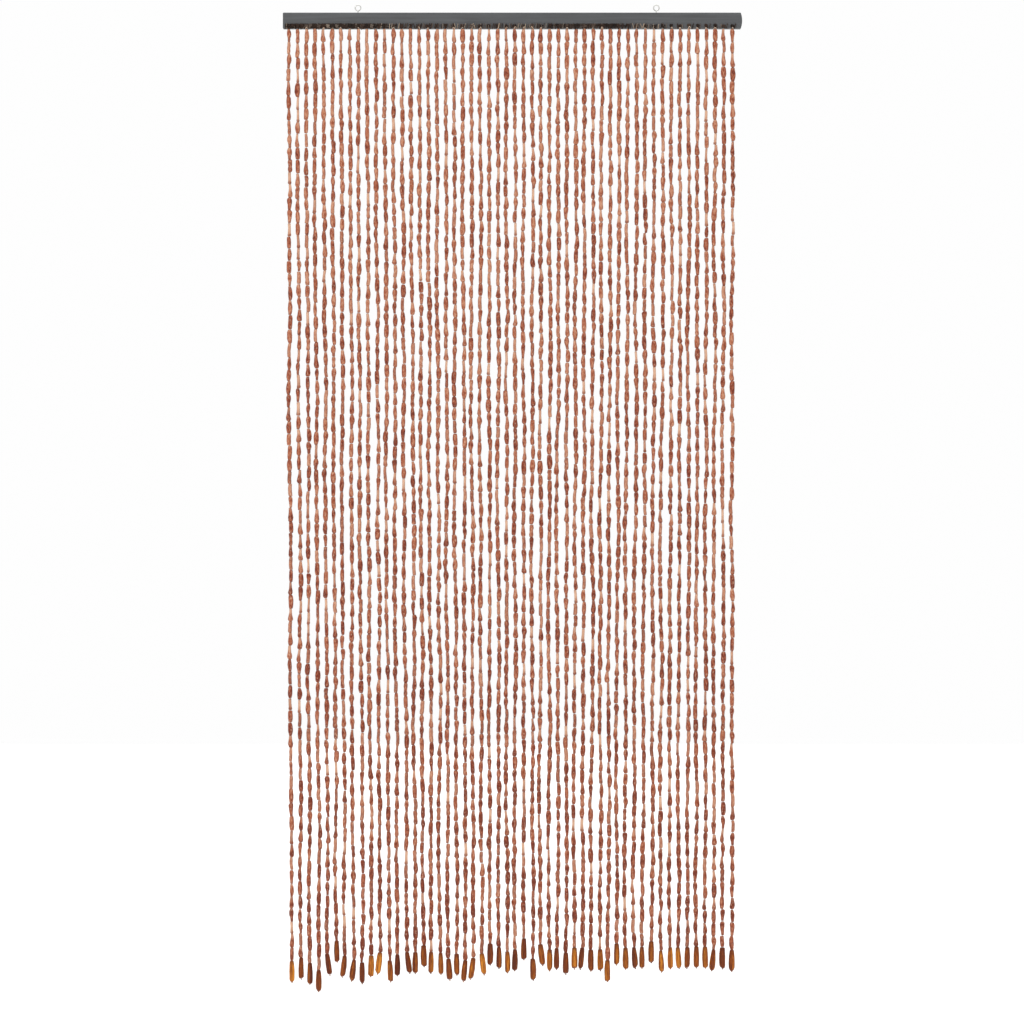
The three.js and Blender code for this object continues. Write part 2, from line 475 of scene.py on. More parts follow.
class Surface(Wiring):
    """The nodes of one material, around its main shader."""

    def __init__(self, name: str, roughness: float, metallic: float = 0.0, specular: float = 0.5) -> None:
        """Makes the material and sets what is the same all over it.

        Args:
            name: The material's name.
            roughness: Its roughness, where nothing varies it.
            metallic: 1 for metal, 0 for all else.
            specular: How strongly it reflects, if it isn't metal.
        """
        self.material = bpy.data.materials.new(name)
        self.material.use_nodes = True
        super().__init__(self.material.node_tree)
        self.shader = next(node for node in self.tree.nodes if node.type == "BSDF_PRINCIPLED")
        self.shader.inputs["Roughness"].default_value = roughness
        self.shader.inputs["Metallic"].default_value = metallic
        self.shader.inputs["Specular IOR Level"].default_value = specular

    def attribute(self, name: str) -> bpy.types.NodeSocket:
        """Returns the value kept on the mesh under a name."""
        return self.add("ShaderNodeAttribute", attribute_name=name).outputs["Fac"]

    def height(self) -> bpy.types.NodeSocket:
        """Returns the height over the part's origin, in metres."""
        place = self.add("ShaderNodeTexCoord").outputs["Object"]
        return self.add("ShaderNodeSeparateXYZ", {"Vector": place}).outputs["Z"]

    def noise(
        self, scale: Sequence[float], detail: float = 3.0, roughness: float = 0.55
    ) -> bpy.types.NodeSocket:
        """Adds noise over the object.

        Args:
            scale: Waves for each metre along X, Y and Z.
            detail: How many finer waves lie on it.
            roughness: How strong the finer waves are.

        Returns:
            The noise, from 0 to 1.
        """
        place = self.add("ShaderNodeTexCoord").outputs["Object"]
        turned = self.add("ShaderNodeMapping", {"Vector": place, "Scale": tuple(scale)}).outputs[0]
        feeds = {"Vector": turned, "Scale": 1.0, "Detail": detail, "Roughness": roughness}
        return self.add("ShaderNodeTexNoise", feeds).outputs[0]

    def ramp(self, value: Value, stops: Sequence[tuple[float, Colour]]) -> bpy.types.NodeSocket:
        """Turns a value into a colour.

        Args:
            value: The value.
            stops: For each stop, its place from 0 to 1 and its colour.

        Returns:
            The colour.
        """
        node = self.add("ShaderNodeValToRGB", {"Fac": value})
        elements = node.color_ramp.elements
        while len(elements) < len(stops):
            elements.new(1.0)
        for element, (place, colour) in zip(elements, stops):
            element.position = place
            element.color = linear(colour)
        return node.outputs[0]

    def mix(self, share: Value, first: Value, second: Value, blend: str = "MIX") -> bpy.types.NodeSocket:
        """Mixes two colours.

        Args:
            share: The second colour's share, from 0 to 1.
            first: The first colour.
            second: The second colour.
            blend: How the second colour goes onto the first.

        Returns:
            The mixed colour.
        """
        feeds = {"Factor_Float": share, "A_Color": first, "B_Color": second}
        node = self.add("ShaderNodeMix", feeds, data_type="RGBA", blend_type=blend)
        return self.result(node, "Result_Color")

    def dress(
        self, colour: Value, roughness: Value = None, relief: Value = None, depth: float = 0.0
    ) -> bpy.types.Material:
        """Links colour, gloss and relief to the main shader.

        Args:
            colour: The base colour.
            roughness: A roughness that varies, or None for an even one.
            relief: Heights from 0 to 1, or None for a smooth surface.
            depth: How far the relief stands out, in metres.

        Returns:
            The finished material.
        """
        self.tree.links.new(colour, self.shader.inputs["Base Color"])
        if roughness is not None:
            self.tree.links.new(roughness, self.shader.inputs["Roughness"])
        if relief is not None:
            feeds = {"Height": relief, "Distance": depth, "Strength": 1.0}
            bump = self.add("ShaderNodeBump", feeds).outputs[0]
            self.tree.links.new(bump, self.shader.inputs["Normal"])
        return self.material


@dataclass(frozen=True)
class BattenPaint:
    """Satin grey paint over a planed wooden bar, with its grain showing faintly along it."""

    dark: Colour = (62, 63, 65)
    pale: Colour = (78, 80, 82)
    roughness: float = 0.5
    grain_share: float = 0.6
    relief: float = mm(0.25)

    def material(self) -> bpy.types.Material:
        """Mixes the paint.

        Returns:
            The paint's material.
        """
        surface = Surface("batten_paint", self.roughness)
        grain = surface.noise((9, 260, 260), detail=5.0)
        clouds = surface.noise((14, 30, 60), detail=2.0)
        streaks = surface.math("MULTIPLY", grain, self.grain_share)
        mixed = surface.math("ADD", streaks, surface.math("MULTIPLY", clouds, 1 - self.grain_share))
        colour = surface.ramp(mixed, [(0.35, self.dark), (0.65, self.pale)])
        gloss = surface.spread(grain, 0.3, 0.7, self.roughness - 0.08, self.roughness + 0.12)
        return surface.dress(colour, gloss, grain, self.relief)


@dataclass(frozen=True)
class EyeSteel:
    """Bright plated wire, a little dull and scratched."""

    pale: Colour = (226, 226, 222)
    dull: Colour = (184, 183, 179)
    roughness: float = 0.3
    relief: float = mm(0.05)

    def material(self) -> bpy.types.Material:
        """Plates the wire.

        Returns:
            The metal's material.
        """
        surface = Surface("eye_steel", self.roughness, metallic=1.0)
        specks = surface.noise((900, 900, 900), detail=3.0)
        colour = surface.ramp(specks, [(0.4, self.dull), (0.6, self.pale)])
        gloss = surface.spread(specks, 0.35, 0.65, self.roughness + 0.12, self.roughness - 0.05)
        return surface.dress(colour, gloss, specks, self.relief)


@dataclass(frozen=True)
class BeadStain:
    """Terracotta stain on the small beads, deep on their bellies, rubbed pale on their necks and darker
    towards the curtain's foot, with painted shade at their ends where they meet and painted pale highlight
    flecks.
    """

    dark: Colour = (117, 47, 24)
    deep: Colour = (147, 73, 45)
    usual: Colour = (173, 104, 73)
    pale: Colour = (198, 143, 113)
    bare_and_highlight: Colour = (218, 179, 151)
    streak: Colour = (204, 172, 158)
    roughness: float = 0.36
    relief: float = mm(0.12)
    own_tones: tuple[float, float] = (0.2, 0.76)
    belly_depth: float = -0.2
    cloud_tones: tuple[float, float] = (-0.4, 0.52)
    curtain_height: float = 1.9
    foot_depth: float = -0.22
    top_lift: float = 0.15
    rubbing: tuple[float, float] = (0.5, 1.1)
    streak_share: float = 0.6
    highlight_share: float = 0.55
    rim_share: float = 0.5

    def material(self) -> bpy.types.Material:
        """Stains the wood.

        Returns:
            The stained wood's material.
        """
        surface = Surface("bead_stain", self.roughness, specular=0.28)
        own = surface.attribute("tone")
        belly = surface.math("MULTIPLY", surface.attribute("belly"), self.belly_depth)
        tone = surface.math("ADD", surface.spread(own, 0.0, 1.0, *self.own_tones), belly)
        cloud = surface.noise((230, 230, 130), detail=2.0)
        tone = surface.math("ADD", tone, surface.spread(cloud, 0.3, 0.7, *self.cloud_tones))
        # darker towards the curtain's foot, paler towards its top
        fade = surface.spread(surface.height(), -self.curtain_height, 0.0, self.foot_depth, self.top_lift)
        tone = surface.math("ADD", tone, fade)
        stops = [(0.0, self.dark), (0.25, self.deep), (0.62, self.usual), (1.0, self.pale)]
        colour = surface.ramp(tone, stops)
        worn = surface.spread(own, 0.1, 0.7, *self.rubbing)
        rubbed = surface.math("MULTIPLY", surface.attribute("bareness"), worn)
        colour = surface.mix(rubbed, colour, linear(self.bare_and_highlight))
        grain = surface.noise((1500, 1500, 130), detail=4.0)
        darker = surface.mix(1.0, colour, linear(self.streak), blend="MULTIPLY")
        colour = surface.mix(surface.spread(grain, 0.35, 0.65, 0.0, self.streak_share), colour, darker)
        # pale flecks over the stain: painted highlights
        highlight_noise = surface.noise((420, 420, 240), detail=3.0)
        painted_highlights = surface.spread(highlight_noise, 0.56, 0.7, 0.0, self.highlight_share)
        colour = surface.mix(painted_highlights, colour, linear(self.bare_and_highlight))
        # painted shade at the bead ends where they meet, and the dark stained stems
        rim = surface.math("MULTIPLY", surface.attribute("rim"), self.rim_share)
        colour = surface.mix(rim, colour, linear(self.dark))
        gloss = surface.spread(grain, 0.3, 0.7, self.roughness - 0.08, self.roughness + 0.14)
        return surface.dress(colour, gloss, grain, self.relief)


@dataclass(frozen=True)
class EndBeadStain:
    """Golden to brown stain on the long end beads, dark in the grain and darker at the foot, with painted
    shade in the carved grooves and over the top, where the small bead above meets it.
    """

    umber: Colour = (90, 33, 9)
    chestnut: Colour = (122, 54, 10)
    honey: Colour = (158, 84, 18)
    gold: Colour = (212, 134, 38)
    groove_shade_and_vein: Colour = (42, 14, 2)
    roughness: float = 0.34
    relief: float = mm(0.2)
    own_share: float = 0.2
    facet_share: float = 0.26
    grain_lift: float = 0.4
    groove_shade_share: float = 0.85
    vein_share: float = 0.7
    rim_share: float = 0.8

    def material(self) -> bpy.types.Material:
        """Stains the wood.

        Returns:
            The stained wood's material.
        """
        surface = Surface("end_bead_stain", self.roughness, specular=0.22)
        own = surface.math("MULTIPLY", surface.attribute("tone"), self.own_share)
        facet = surface.math("MULTIPLY", surface.attribute("facet"), self.facet_share)
        tone = surface.math("ADD", surface.math("ADD", own, facet), surface.attribute("gilding"))
        stops = [(0.0, self.umber), (0.3, self.chestnut), (0.62, self.honey), (1.0, self.gold)]
        grain = surface.noise((1100, 1100, 55), detail=5.0)
        lift = surface.spread(grain, 0.3, 0.7, -self.grain_lift, self.grain_lift)
        colour = surface.ramp(surface.math("ADD", tone, lift), stops)
        # painted shade in the carved grooves
        groove = surface.math("MULTIPLY", surface.attribute("groove"), self.groove_shade_share)
        colour = surface.mix(groove, colour, linear(self.groove_shade_and_vein))
        vein = surface.noise((650, 650, 22), detail=3.0)
        veins = surface.spread(vein, 0.6, 0.7, 0.0, self.vein_share)
        colour = surface.mix(veins, colour, linear(self.groove_shade_and_vein))
        # painted shade over the top, where the small bead above meets it, and darker at the foot
        rim = surface.math("MULTIPLY", surface.attribute("rim"), self.rim_share)
        colour = surface.mix(rim, colour, linear(self.umber))
        gloss = surface.spread(grain, 0.3, 0.7, self.roughness - 0.08, self.roughness + 0.12)
        return surface.dress(colour, gloss, grain, self.relief)


@dataclass(frozen=True)
class HeadingCord:
    """Dark brown and black cord, with some greyer and paler strands among it."""

    black: Colour = (26, 20, 16)
    brown: Colour = (56, 39, 29)
    grey: Colour = (106, 96, 87)
    straw: Colour = (176, 156, 134)
    roughness: float = 0.85
    relief: float = mm(0.3)
    own_share: float = 0.45
    fibre_tones: tuple[float, float] = (-0.14, 0.16)

    def material(self) -> bpy.types.Material:
        """Dyes the cord.

        Returns:
            The cord's material.
        """
        surface = Surface("heading_cord", self.roughness, specular=0.25)
        stops = [(0.0, self.black), (0.4, self.brown), (0.7, self.grey), (1.0, self.straw)]
        fibre = surface.noise((1600, 1600, 1600), detail=3.0)
        own = surface.math("MULTIPLY", surface.attribute("tone"), self.own_share)
        tone = surface.math("ADD", own, surface.attribute("fading"))
        tone = surface.math("ADD", tone, surface.spread(fibre, 0.3, 0.7, *self.fibre_tones))
        return surface.dress(surface.ramp(tone, stops), relief=fibre, depth=self.relief)


@dataclass(frozen=True)
class StringThread:
    """Pale waxed thread that shows between the beads."""

    pale: Colour = (226, 208, 188)
    worn: Colour = (196, 160, 134)
    roughness: float = 0.7
    relief: float = mm(0.15)

    def material(self) -> bpy.types.Material:
        """Waxes the thread.

        Returns:
            The thread's material.
        """
        surface = Surface("string_thread", self.roughness, specular=0.3)
        twist = surface.noise((900, 900, 260), detail=2.0)
        colour = surface.ramp(twist, [(0.4, self.worn), (0.6, self.pale)])
        return surface.dress(colour, relief=twist, depth=self.relief)


@dataclass(frozen=True)
class KnotStain:
    """Brown stained knots that stop the end beads."""

    dark: Colour = (104, 54, 26)
    pale: Colour = (172, 110, 62)
    roughness: float = 0.8
    relief: float = mm(0.2)

    def material(self) -> bpy.types.Material:
        """Stains the knots.

        Returns:
            The stained thread's material.
        """
        surface = Surface("knot_stain", self.roughness, specular=0.3)
        fibre = surface.noise((1400, 1400, 1400), detail=2.0)
        tone = surface.math("MULTIPLY", surface.math("ADD", surface.attribute("tone"), fibre), 0.5)
        colour = surface.ramp(tone, [(0.3, self.dark), (0.7, self.pale)])
        return surface.dress(colour, relief=fibre, depth=self.relief)


@dataclass(frozen=True)
class FloorPaint:
    """The plain pale floor that the curtain hangs over."""

    dim: Colour = (245, 244, 243)
    pale: Colour = (250, 249, 248)
    roughness: float = 0.8

    def material(self) -> bpy.types.Material:
        """Paints the floor.

        Returns:
            The floor's material.
        """
        surface = Surface("floor_paint", self.roughness, specular=0.2)
        clouds = surface.noise((0.6, 0.6, 0.6), detail=1.0)
        return surface.dress(surface.ramp(clouds, [(0.3, self.dim), (0.7, self.pale)]))


# The strings as the frame holds them


@dataclass(frozen=True)
class Strand:
    """One string of the curtain: its line down to its end bead, and that bead's top and tip."""

    line: tuple[Vector, ...]
    bead_top: Vector
    tip: Vector


class StrandReader:
    """Reads the line of each string, and the place of its end bead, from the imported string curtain."""

    weld: float = mm(0.01)
    narrow_share: float = 0.62
    spacing: float = mm(40)

    def __init__(self, node: bpy.types.Object, node_name: str) -> None:
        """Copies the node's mesh and joins its loose triangles.

        Args:
            node: The string curtain's node.
            node_name: The node's name in the frame.
        """
        self.mesh = bmesh.new()
        self.mesh.from_mesh(node.data)
        bmesh.ops.remove_doubles(self.mesh, verts=self.mesh.verts, dist=self.weld)
        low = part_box(node_name)[0]
        self.root_z = min(v.co.z for v in self.mesh.verts if v.co.x < low.x + self.weld)

    def read(self) -> list[Strand]:
        """Parts the strands from the strip that they hang from.

        Returns:
            The strands, from left to right.
        """
        level = self.root_z - self.weld
        strip = [face for face in self.mesh.faces if all(v.co.z > level for v in face.verts)]
        bmesh.ops.delete(self.mesh, geom=strip, context="FACES")
        strands = [self._strand(island) for island in self._islands()]
        self.mesh.free()
        return sorted(strands, key=lambda strand: strand.line[0].x)

    def _islands(self) -> list[list[Vector]]:
        """Finds the parts of the mesh that hang together.

        Returns:
            The corners of each part.
        """
        left = set(self.mesh.verts)
        islands = []
        while left:
            edge = [left.pop()]
            island = []
            while edge:
                corner = edge.pop()
                island.append(corner.co.copy())
                near = [link.other_vert(corner) for link in corner.link_edges]
                fresh = [other for other in near if other in left]
                left.difference_update(fresh)
                edge.extend(fresh)
            islands.append(island)
        return islands

    def _strand(self, island: Sequence[Vector]) -> Strand:
        """Finds one strand's line, from the rings of corners that lie at one height each.

        Args:
            island: The strand's corners.

        Returns:
            The strand.
        """
        rings = defaultdict(list)
        for corner in island:
            rings[round(corner.z, 5)].append(corner)
        middles, widths = [], []
        for height in sorted(rings, reverse=True):
            xs = [corner.x for corner in rings[height]]
            ys = [corner.y for corner in rings[height]]
            middles.append(Vector(((min(xs) + max(xs)) / 2, (min(ys) + max(ys)) / 2, height)))
            widths.append(max(xs) - min(xs))
        narrow = self.narrow_share * sorted(widths)[len(widths) // 2]
        shoulder = next(i for i, width in enumerate(widths) if width > narrow)
        neck = next(i for i, width in enumerate(widths) if i > shoulder and width < narrow)
        bead_top = middles[neck + 1]
        line = [middles[0]]
        for middle in middles[1:neck]:
            if min(line[-1].z - middle.z, middle.z - bead_top.z) > self.spacing:
                line.append(middle)
        return Strand((*line, bead_top), bead_top, middles[-1])


# The pieces


@dataclass
class Batten:
    """The painted bar. Its own node has the right shape, so it only gets its paint."""

    node: bpy.types.Object
    paint: BattenPaint = field(default_factory=BattenPaint)

    def build(self) -> None:
        """Paints the bar."""
        self.node.data.materials.clear()
        self.node.data.materials.append(self.paint.material())
        LOG.info("batten: painted")


@dataclass
class ScrewEye:
    """One screw eye, bent from a single wire: a ring, a tight bend under it and a pointed shank."""

    node_name: str
    name: str
    mouth_side: float
    neck_radius: float = mm(2.5)
    mouth: float = mm(1.2)
    point: float = mm(4.0)
    tip_share: float = 0.3
    end_share: float = 0.8
    steps: int = 120
    sides: int = 14

    def _line(self) -> list[Vector]:
        """Bends the wire's middle from its free end round the ring and down the shank.

        Returns:
            The line.
        """
        low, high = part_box(self.node_name)
        wire = high.y - low.y
        ring = (high.x - low.x - wire) / 2
        centre = Vector(((low.x + high.x) / 2, 0.0, high.z - ring - wire / 2))
        reach = ring + self.neck_radius
        neck_turn = math.acos(self.neck_radius / reach)
        neck_drop = reach * math.sin(neck_turn)
        ring_turn = 2 * math.pi - (self.mouth + wire) / ring
        lengths = (ring * ring_turn, self.neck_radius * neck_turn, centre.z - neck_drop - low.z)
        line = []
        for step in range(self.steps + 1):
            along = sum(lengths) * step / self.steps
            past_ring = along - lengths[0]
            past_neck = past_ring - lengths[1]
            if past_neck > 0:
                place = Vector((0.0, 0.0, -neck_drop - past_neck))
            elif past_ring > 0:
                left = neck_turn - past_ring / self.neck_radius
                aside = self.neck_radius * (1 - math.cos(left))
                rise = self.neck_radius * math.sin(left) - neck_drop
                place = Vector((-self.mouth_side * aside, 0.0, rise))
            else:
                left = math.pi / 2 - neck_turn - past_ring / ring
                place = Vector((-self.mouth_side * ring * math.sin(left), 0.0, -ring * math.cos(left)))
            line.append(centre + place)
        return line

    def build(self, steel: bpy.types.Material) -> bpy.types.Object:
        """Bends the wire.

        Args:
            steel: The wire's finish.

        Returns:
            The screw eye, in place of its node.
        """
        low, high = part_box(self.node_name)
        radius = (high.y - low.y) / 2
        line = self._line()
        radii = []
        for place in line:
            above_tip = place.z - low.z
            slim = min(1.0, self.tip_share + (1 - self.tip_share) * above_tip / self.point)
            radii.append(radius * slim)
        radii[0] *= self.end_share
        piece = add_object(self.name, swept_mesh(self.name, line, radii, self.sides, closed=False))
        piece.data.materials.append(steel)
        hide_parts(self.node_name)
        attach(piece, BODY)
        LOG.info("%s: %d faces", piece.name, len(piece.data.polygons))
        return piece


@dataclass(frozen=True)
class BeadCut:
    """One way a small bead is turned, with its length and its usual width as 1.

    The outline's rows say how far down the bead, and how wide there. The stem is the share of its foot
    that is stained dark.
    """

    name: str
    share: int
    bareness: float
    stem: float
    outline: tuple[tuple[float, float], ...]


BEAD_CUTS = (
    BeadCut("barrel", 5, 0.0, 0.0, (
        (0, 0.66), (0.05, 0.82), (0.2, 0.95), (0.45, 1),
        (0.7, 0.98), (0.88, 0.88), (0.97, 0.74), (1, 0.62),
    )),
    BeadCut("stout", 3, 0.0, 0.06, (
        (0, 0.6), (0.05, 0.78), (0.2, 1), (0.43, 1.12),
        (0.66, 1.1), (0.86, 0.9), (0.96, 0.72), (1, 0.6),
    )),
    BeadCut("spindle", 5, 0.0, 0.12, (
        (0, 0.56), (0.05, 0.64), (0.22, 0.82), (0.42, 1),
        (0.6, 1.04), (0.8, 0.87), (0.94, 0.68), (1, 0.58),
    )),
    BeadCut("drop", 5, 0.0, 0.0, (
        (0, 0.54), (0.06, 0.61), (0.26, 0.71), (0.48, 0.88),
        (0.68, 1.05), (0.85, 1.01), (0.95, 0.82), (1, 0.62),
    )),
    BeadCut("gourd", 3, 0.08, 0.0, (
        (0, 0.5), (0.06, 0.56), (0.3, 0.6), (0.5, 0.73),
        (0.68, 0.98), (0.84, 1.06), (0.95, 0.84), (1, 0.58),
    )),
    BeadCut("bud", 3, 0.0, 0.1, (
        (0, 0.6), (0.06, 0.84), (0.18, 1.05), (0.36, 1.03),
        (0.58, 0.84), (0.8, 0.7), (0.95, 0.62), (1, 0.54),
    )),
    BeadCut("stemmed", 4, 0.0, 0.3, (
        (0, 0.52), (0.08, 0.7), (0.26, 1.01), (0.44, 1.05),
        (0.6, 0.86), (0.72, 0.66), (0.9, 0.62), (1, 0.55),
    )),
    BeadCut("waisted", 2, 0.1, 0.0, (
        (0, 0.66), (0.08, 0.84), (0.25, 0.95), (0.44, 0.78),
        (0.6, 0.78), (0.78, 0.94), (0.93, 0.86), (1, 0.64),
    )),
    BeadCut("stick", 4, 0.24, 0.0, (
        (0, 0.62), (0.05, 0.73), (0.3, 0.82), (0.55, 0.79),
        (0.8, 0.83), (0.96, 0.76), (1, 0.62),
    )),
    BeadCut("match", 2, 0.4, 0.16, (
        (0, 0.52), (0.06, 0.6), (0.4, 0.59), (0.74, 0.64),
        (0.86, 0.76), (0.95, 0.72), (1, 0.54),
    )),
)


@dataclass
class BeadForms:
    """The forms that the small beads are picked from."""

    sides: int = 8
    variants: int = 2
    waver: float = 0.06
    bow: float = 0.12
    shift: float = 0.035
    belly_from: float = 0.7
    belly_span: float = 0.4
    neck_from: float = 0.78
    neck_span: float = 0.3
    neck_bareness: float = 0.85
    foot_bareness: float = 0.3

    def _mesh(self, cut: BeadCut, variant: int) -> bpy.types.Mesh:
        """Turns one bead of a cut, a little uneven.

        Args:
            cut: The cut.
            variant: Which bead of that cut it is.

        Returns:
            The bead's mesh, 1 long and about 1 wide, with its bellies and rubbed pale necks marked, and its
            ends marked for painted shade where beads meet and its stem for dark stain.
        """
        chance = random.Random(f"{cut.name} {variant}")
        lean = chance.uniform(0, 2 * math.pi)
        bow = chance.uniform(0.2, 1.0) * self.bow
        rows, bellies, necks, end_shades_and_dark_feet = [], [], [], []
        for down, wide in cut.outline:
            off = bow * math.sin(math.pi * down)
            middle = Vector((off * math.cos(lean), off * math.sin(lean), 0.5 - down))
            middle.x += chance.uniform(-self.shift, self.shift)
            ring = []
            for side in range(self.sides):
                angle = 2 * math.pi * (side + 0.5 * variant) / self.sides
                reach = wide / 2 * (1 + chance.uniform(-self.waver, self.waver))
                ring.append(middle + Vector((reach * math.cos(angle), reach * math.sin(angle), 0.0)))
            rows.append(ring)
            bellies.append(min(1.0, max(0.0, (wide - self.belly_from) / self.belly_span)))
            neck = self.neck_bareness * max(0.0, self.neck_from - wide) / self.neck_span
            necks.append(min(1.0, cut.bareness + neck * (1.0 if down < 0.5 else self.foot_bareness)))
            # 1 at both ends, as painted shade where beads meet, and along the dark stained stem
            end_shades_and_dark_feet.append(1.0 if down in (0, 1) or down > 1 - cut.stem else 0.0)
        mesh = turned_mesh(f"bead_{cut.name}_{variant}", rows)
        for name, values in (("belly", bellies), ("bareness", necks), ("rim", end_shades_and_dark_feet)):
            keep_values(mesh, name, [value for value in values for _ in range(self.sides)])
        return mesh

    def build(self) -> FormSet:
        """Turns beads of every cut.

        Returns:
            The set of forms.
        """
        forms = FormSet("bead_form")
        for cut in BEAD_CUTS:
            for variant in range(self.variants):
                forms.put(self._mesh(cut, variant), cut.share)
        return forms


@dataclass
class BeadStrings:
    """The small beads, threaded one after another on every string."""

    strands: Sequence[Strand]
    bead_length: float = mm(25.7)
    length_spread: float = 0.13
    bead_width: float = mm(8.85)
    width_spread: float = 0.12
    ovals: tuple[float, float] = (0.92, 1.08)
    thread_gap: float = mm(1.6)
    gap_rarity: float = 4.0
    top_slack: float = mm(1.2)
    sideways: float = mm(0.7)
    tilt: float = math.radians(3.0)
    beads_per_string: int = 72
    strings_per_piece: int = 13
    seed: int = 7

    def _recipe(self) -> Recipe:
        """Writes the recipe that threads beads of uneven length end to end down each line.

        Returns:
            The recipe.
        """
        recipe = Recipe("threaded_beads")
        count = recipe.named("Beads per String", InputKind.COUNT)
        length = recipe.named("Bead Length")
        length_spread = recipe.named("Length Spread")
        width = recipe.named("Bead Width")
        width_spread = recipe.named("Width Spread")
        gap = recipe.named("Thread Gap")
        slack = recipe.named("Top Slack")
        sideways = recipe.named("Sideways")
        tilt = recipe.named("Tilt")
        seed = recipe.named("Seed", InputKind.COUNT)
        forms = recipe.named("Forms", InputKind.FORMS)
        stain = recipe.named("Stain", InputKind.STAIN)

        lines = smooth_lines(recipe, recipe.inlet.outputs[0])
        size = recipe.add("GeometryNodeAttributeDomainSize", {"Geometry": lines}, component="CURVE")
        total = recipe.math("MULTIPLY", size.outputs["Spline Count"], count)
        points = recipe.add("GeometryNodePoints", {"Count": total}).outputs[0]
        index = recipe.add("GeometryNodeInputIndex").outputs[0]
        string = recipe.math("FLOOR", recipe.math("DIVIDE", recipe.math("ADD", index, 0.5), count))

        spread = recipe.draw(recipe.math("MULTIPLY", length_spread, -1.0), length_spread, seed)
        own = recipe.math("MULTIPLY", length, recipe.math("ADD", spread, 1.0))
        feeds = {"Value": own, "Group Index": string}
        run = recipe.add("GeometryNodeAccumulateField", feeds, data_type="FLOAT", domain="POINT")
        spline = recipe.add("GeometryNodeSplineLength").outputs[0]
        feeds = {"Geometry": lines, "Value": spline, "Index": string}
        whole = recipe.add("GeometryNodeSampleIndex", feeds, data_type="FLOAT", domain="CURVE").outputs[0]
        start = recipe.draw(0.0, slack, seed, of=string)
        fit = recipe.math("DIVIDE", recipe.math("SUBTRACT", whole, start), run.outputs["Total"])
        fitted = recipe.math("MULTIPLY", own, fit)
        before = recipe.math("MULTIPLY", run.outputs["Trailing"], fit)
        half = recipe.math("MULTIPLY", fitted, 0.5)
        along = recipe.math("ADD", recipe.math("ADD", before, start), half)
        feeds = {"Curves": lines, "Length": along, "Curve Index": string}
        spot = recipe.add("GeometryNodeSampleCurve", feeds, mode="LENGTH", use_all_curves=False)

        back = recipe.math("MULTIPLY", sideways, -1.0)
        aside = recipe.vector(recipe.draw(back, sideways, seed), recipe.draw(back, sideways, seed), 0.0)
        feeds = {"Geometry": points, "Position": spot.outputs["Position"], "Offset": aside}
        placed = recipe.add("GeometryNodeSetPosition", feeds).outputs[0]

        thin = recipe.math("MULTIPLY", width_spread, -1.0)
        swell = recipe.math("ADD", recipe.draw(thin, width_spread, seed), 1.0)
        across = recipe.math("MULTIPLY", width, swell)
        oval = recipe.math("MULTIPLY", across, recipe.draw(*self.ovals, seed))
        open_part = recipe.math("POWER", recipe.draw(0.0, 1.0, seed), self.gap_rarity)
        tall = recipe.math("SUBTRACT", fitted, recipe.math("MULTIPLY", gap, open_part))
        scale = recipe.vector(across, oval, tall)
        aim = spot.outputs["Tangent"]
        beads = recipe.hang(placed, aim, scale, tilt, math.pi, seed, forms)
        recipe.close(beads, stain)
        return recipe

    def build(self, stain: bpy.types.Material) -> list[bpy.types.Object]:
        """Threads the beads.

        Args:
            stain: The beads' finish.

        Returns:
            The pieces, each with the beads of a few neighbouring strings.
        """
        recipe = self._recipe()
        forms = BeadForms().build()
        pieces = []
        for number, first in enumerate(range(0, len(self.strands), self.strings_per_piece)):
            part = self.strands[first : first + self.strings_per_piece]
            values = {
                "Beads per String": self.beads_per_string,
                "Bead Length": self.bead_length,
                "Length Spread": self.length_spread,
                "Bead Width": self.bead_width,
                "Width Spread": self.width_spread,
                "Thread Gap": self.thread_gap,
                "Top Slack": self.top_slack,
                "Sideways": self.sideways,
                "Tilt": self.tilt,
                "Seed": self.seed + number,
                "Forms": forms.collection,
                "Stain": stain,
            }
            name = f"bead_strings_{number + 1}"
            pieces.append(recipe.make(name, line_mesh(name, [s.line for s in part]), values))
        forms.clear()
        return pieces


def smooth_lines(recipe: Recipe, mesh: Value) -> Value:
    """Turns a mesh of edges into smooth curves inside a recipe, and returns them."""
    feeds = {"Curve": recipe.add("GeometryNodeMeshToCurve", {"Mesh": mesh}).outputs[0]}
    return recipe.add("GeometryNodeCurveSplineType", feeds, spline_type="CATMULL_ROM").outputs[0]


def line_mesh(name: str, lines: Iterable[Sequence[Vector]]) -> bpy.types.Mesh:
    """Makes a mesh of edges that run along lines.

    Args:
        name: The mesh's name.
        lines: The points of each line, from its first to its last.

    Returns:
        The mesh.
    """
    points, edges = [], []
    for line in lines:
        edges.extend((len(points) + step, len(points) + step + 1) for step in range(len(line) - 1))
        points.extend(tuple(point) for point in line)
    mesh = bpy.data.meshes.new(name)
    mesh.from_pydata(points, edges, [])
    return mesh


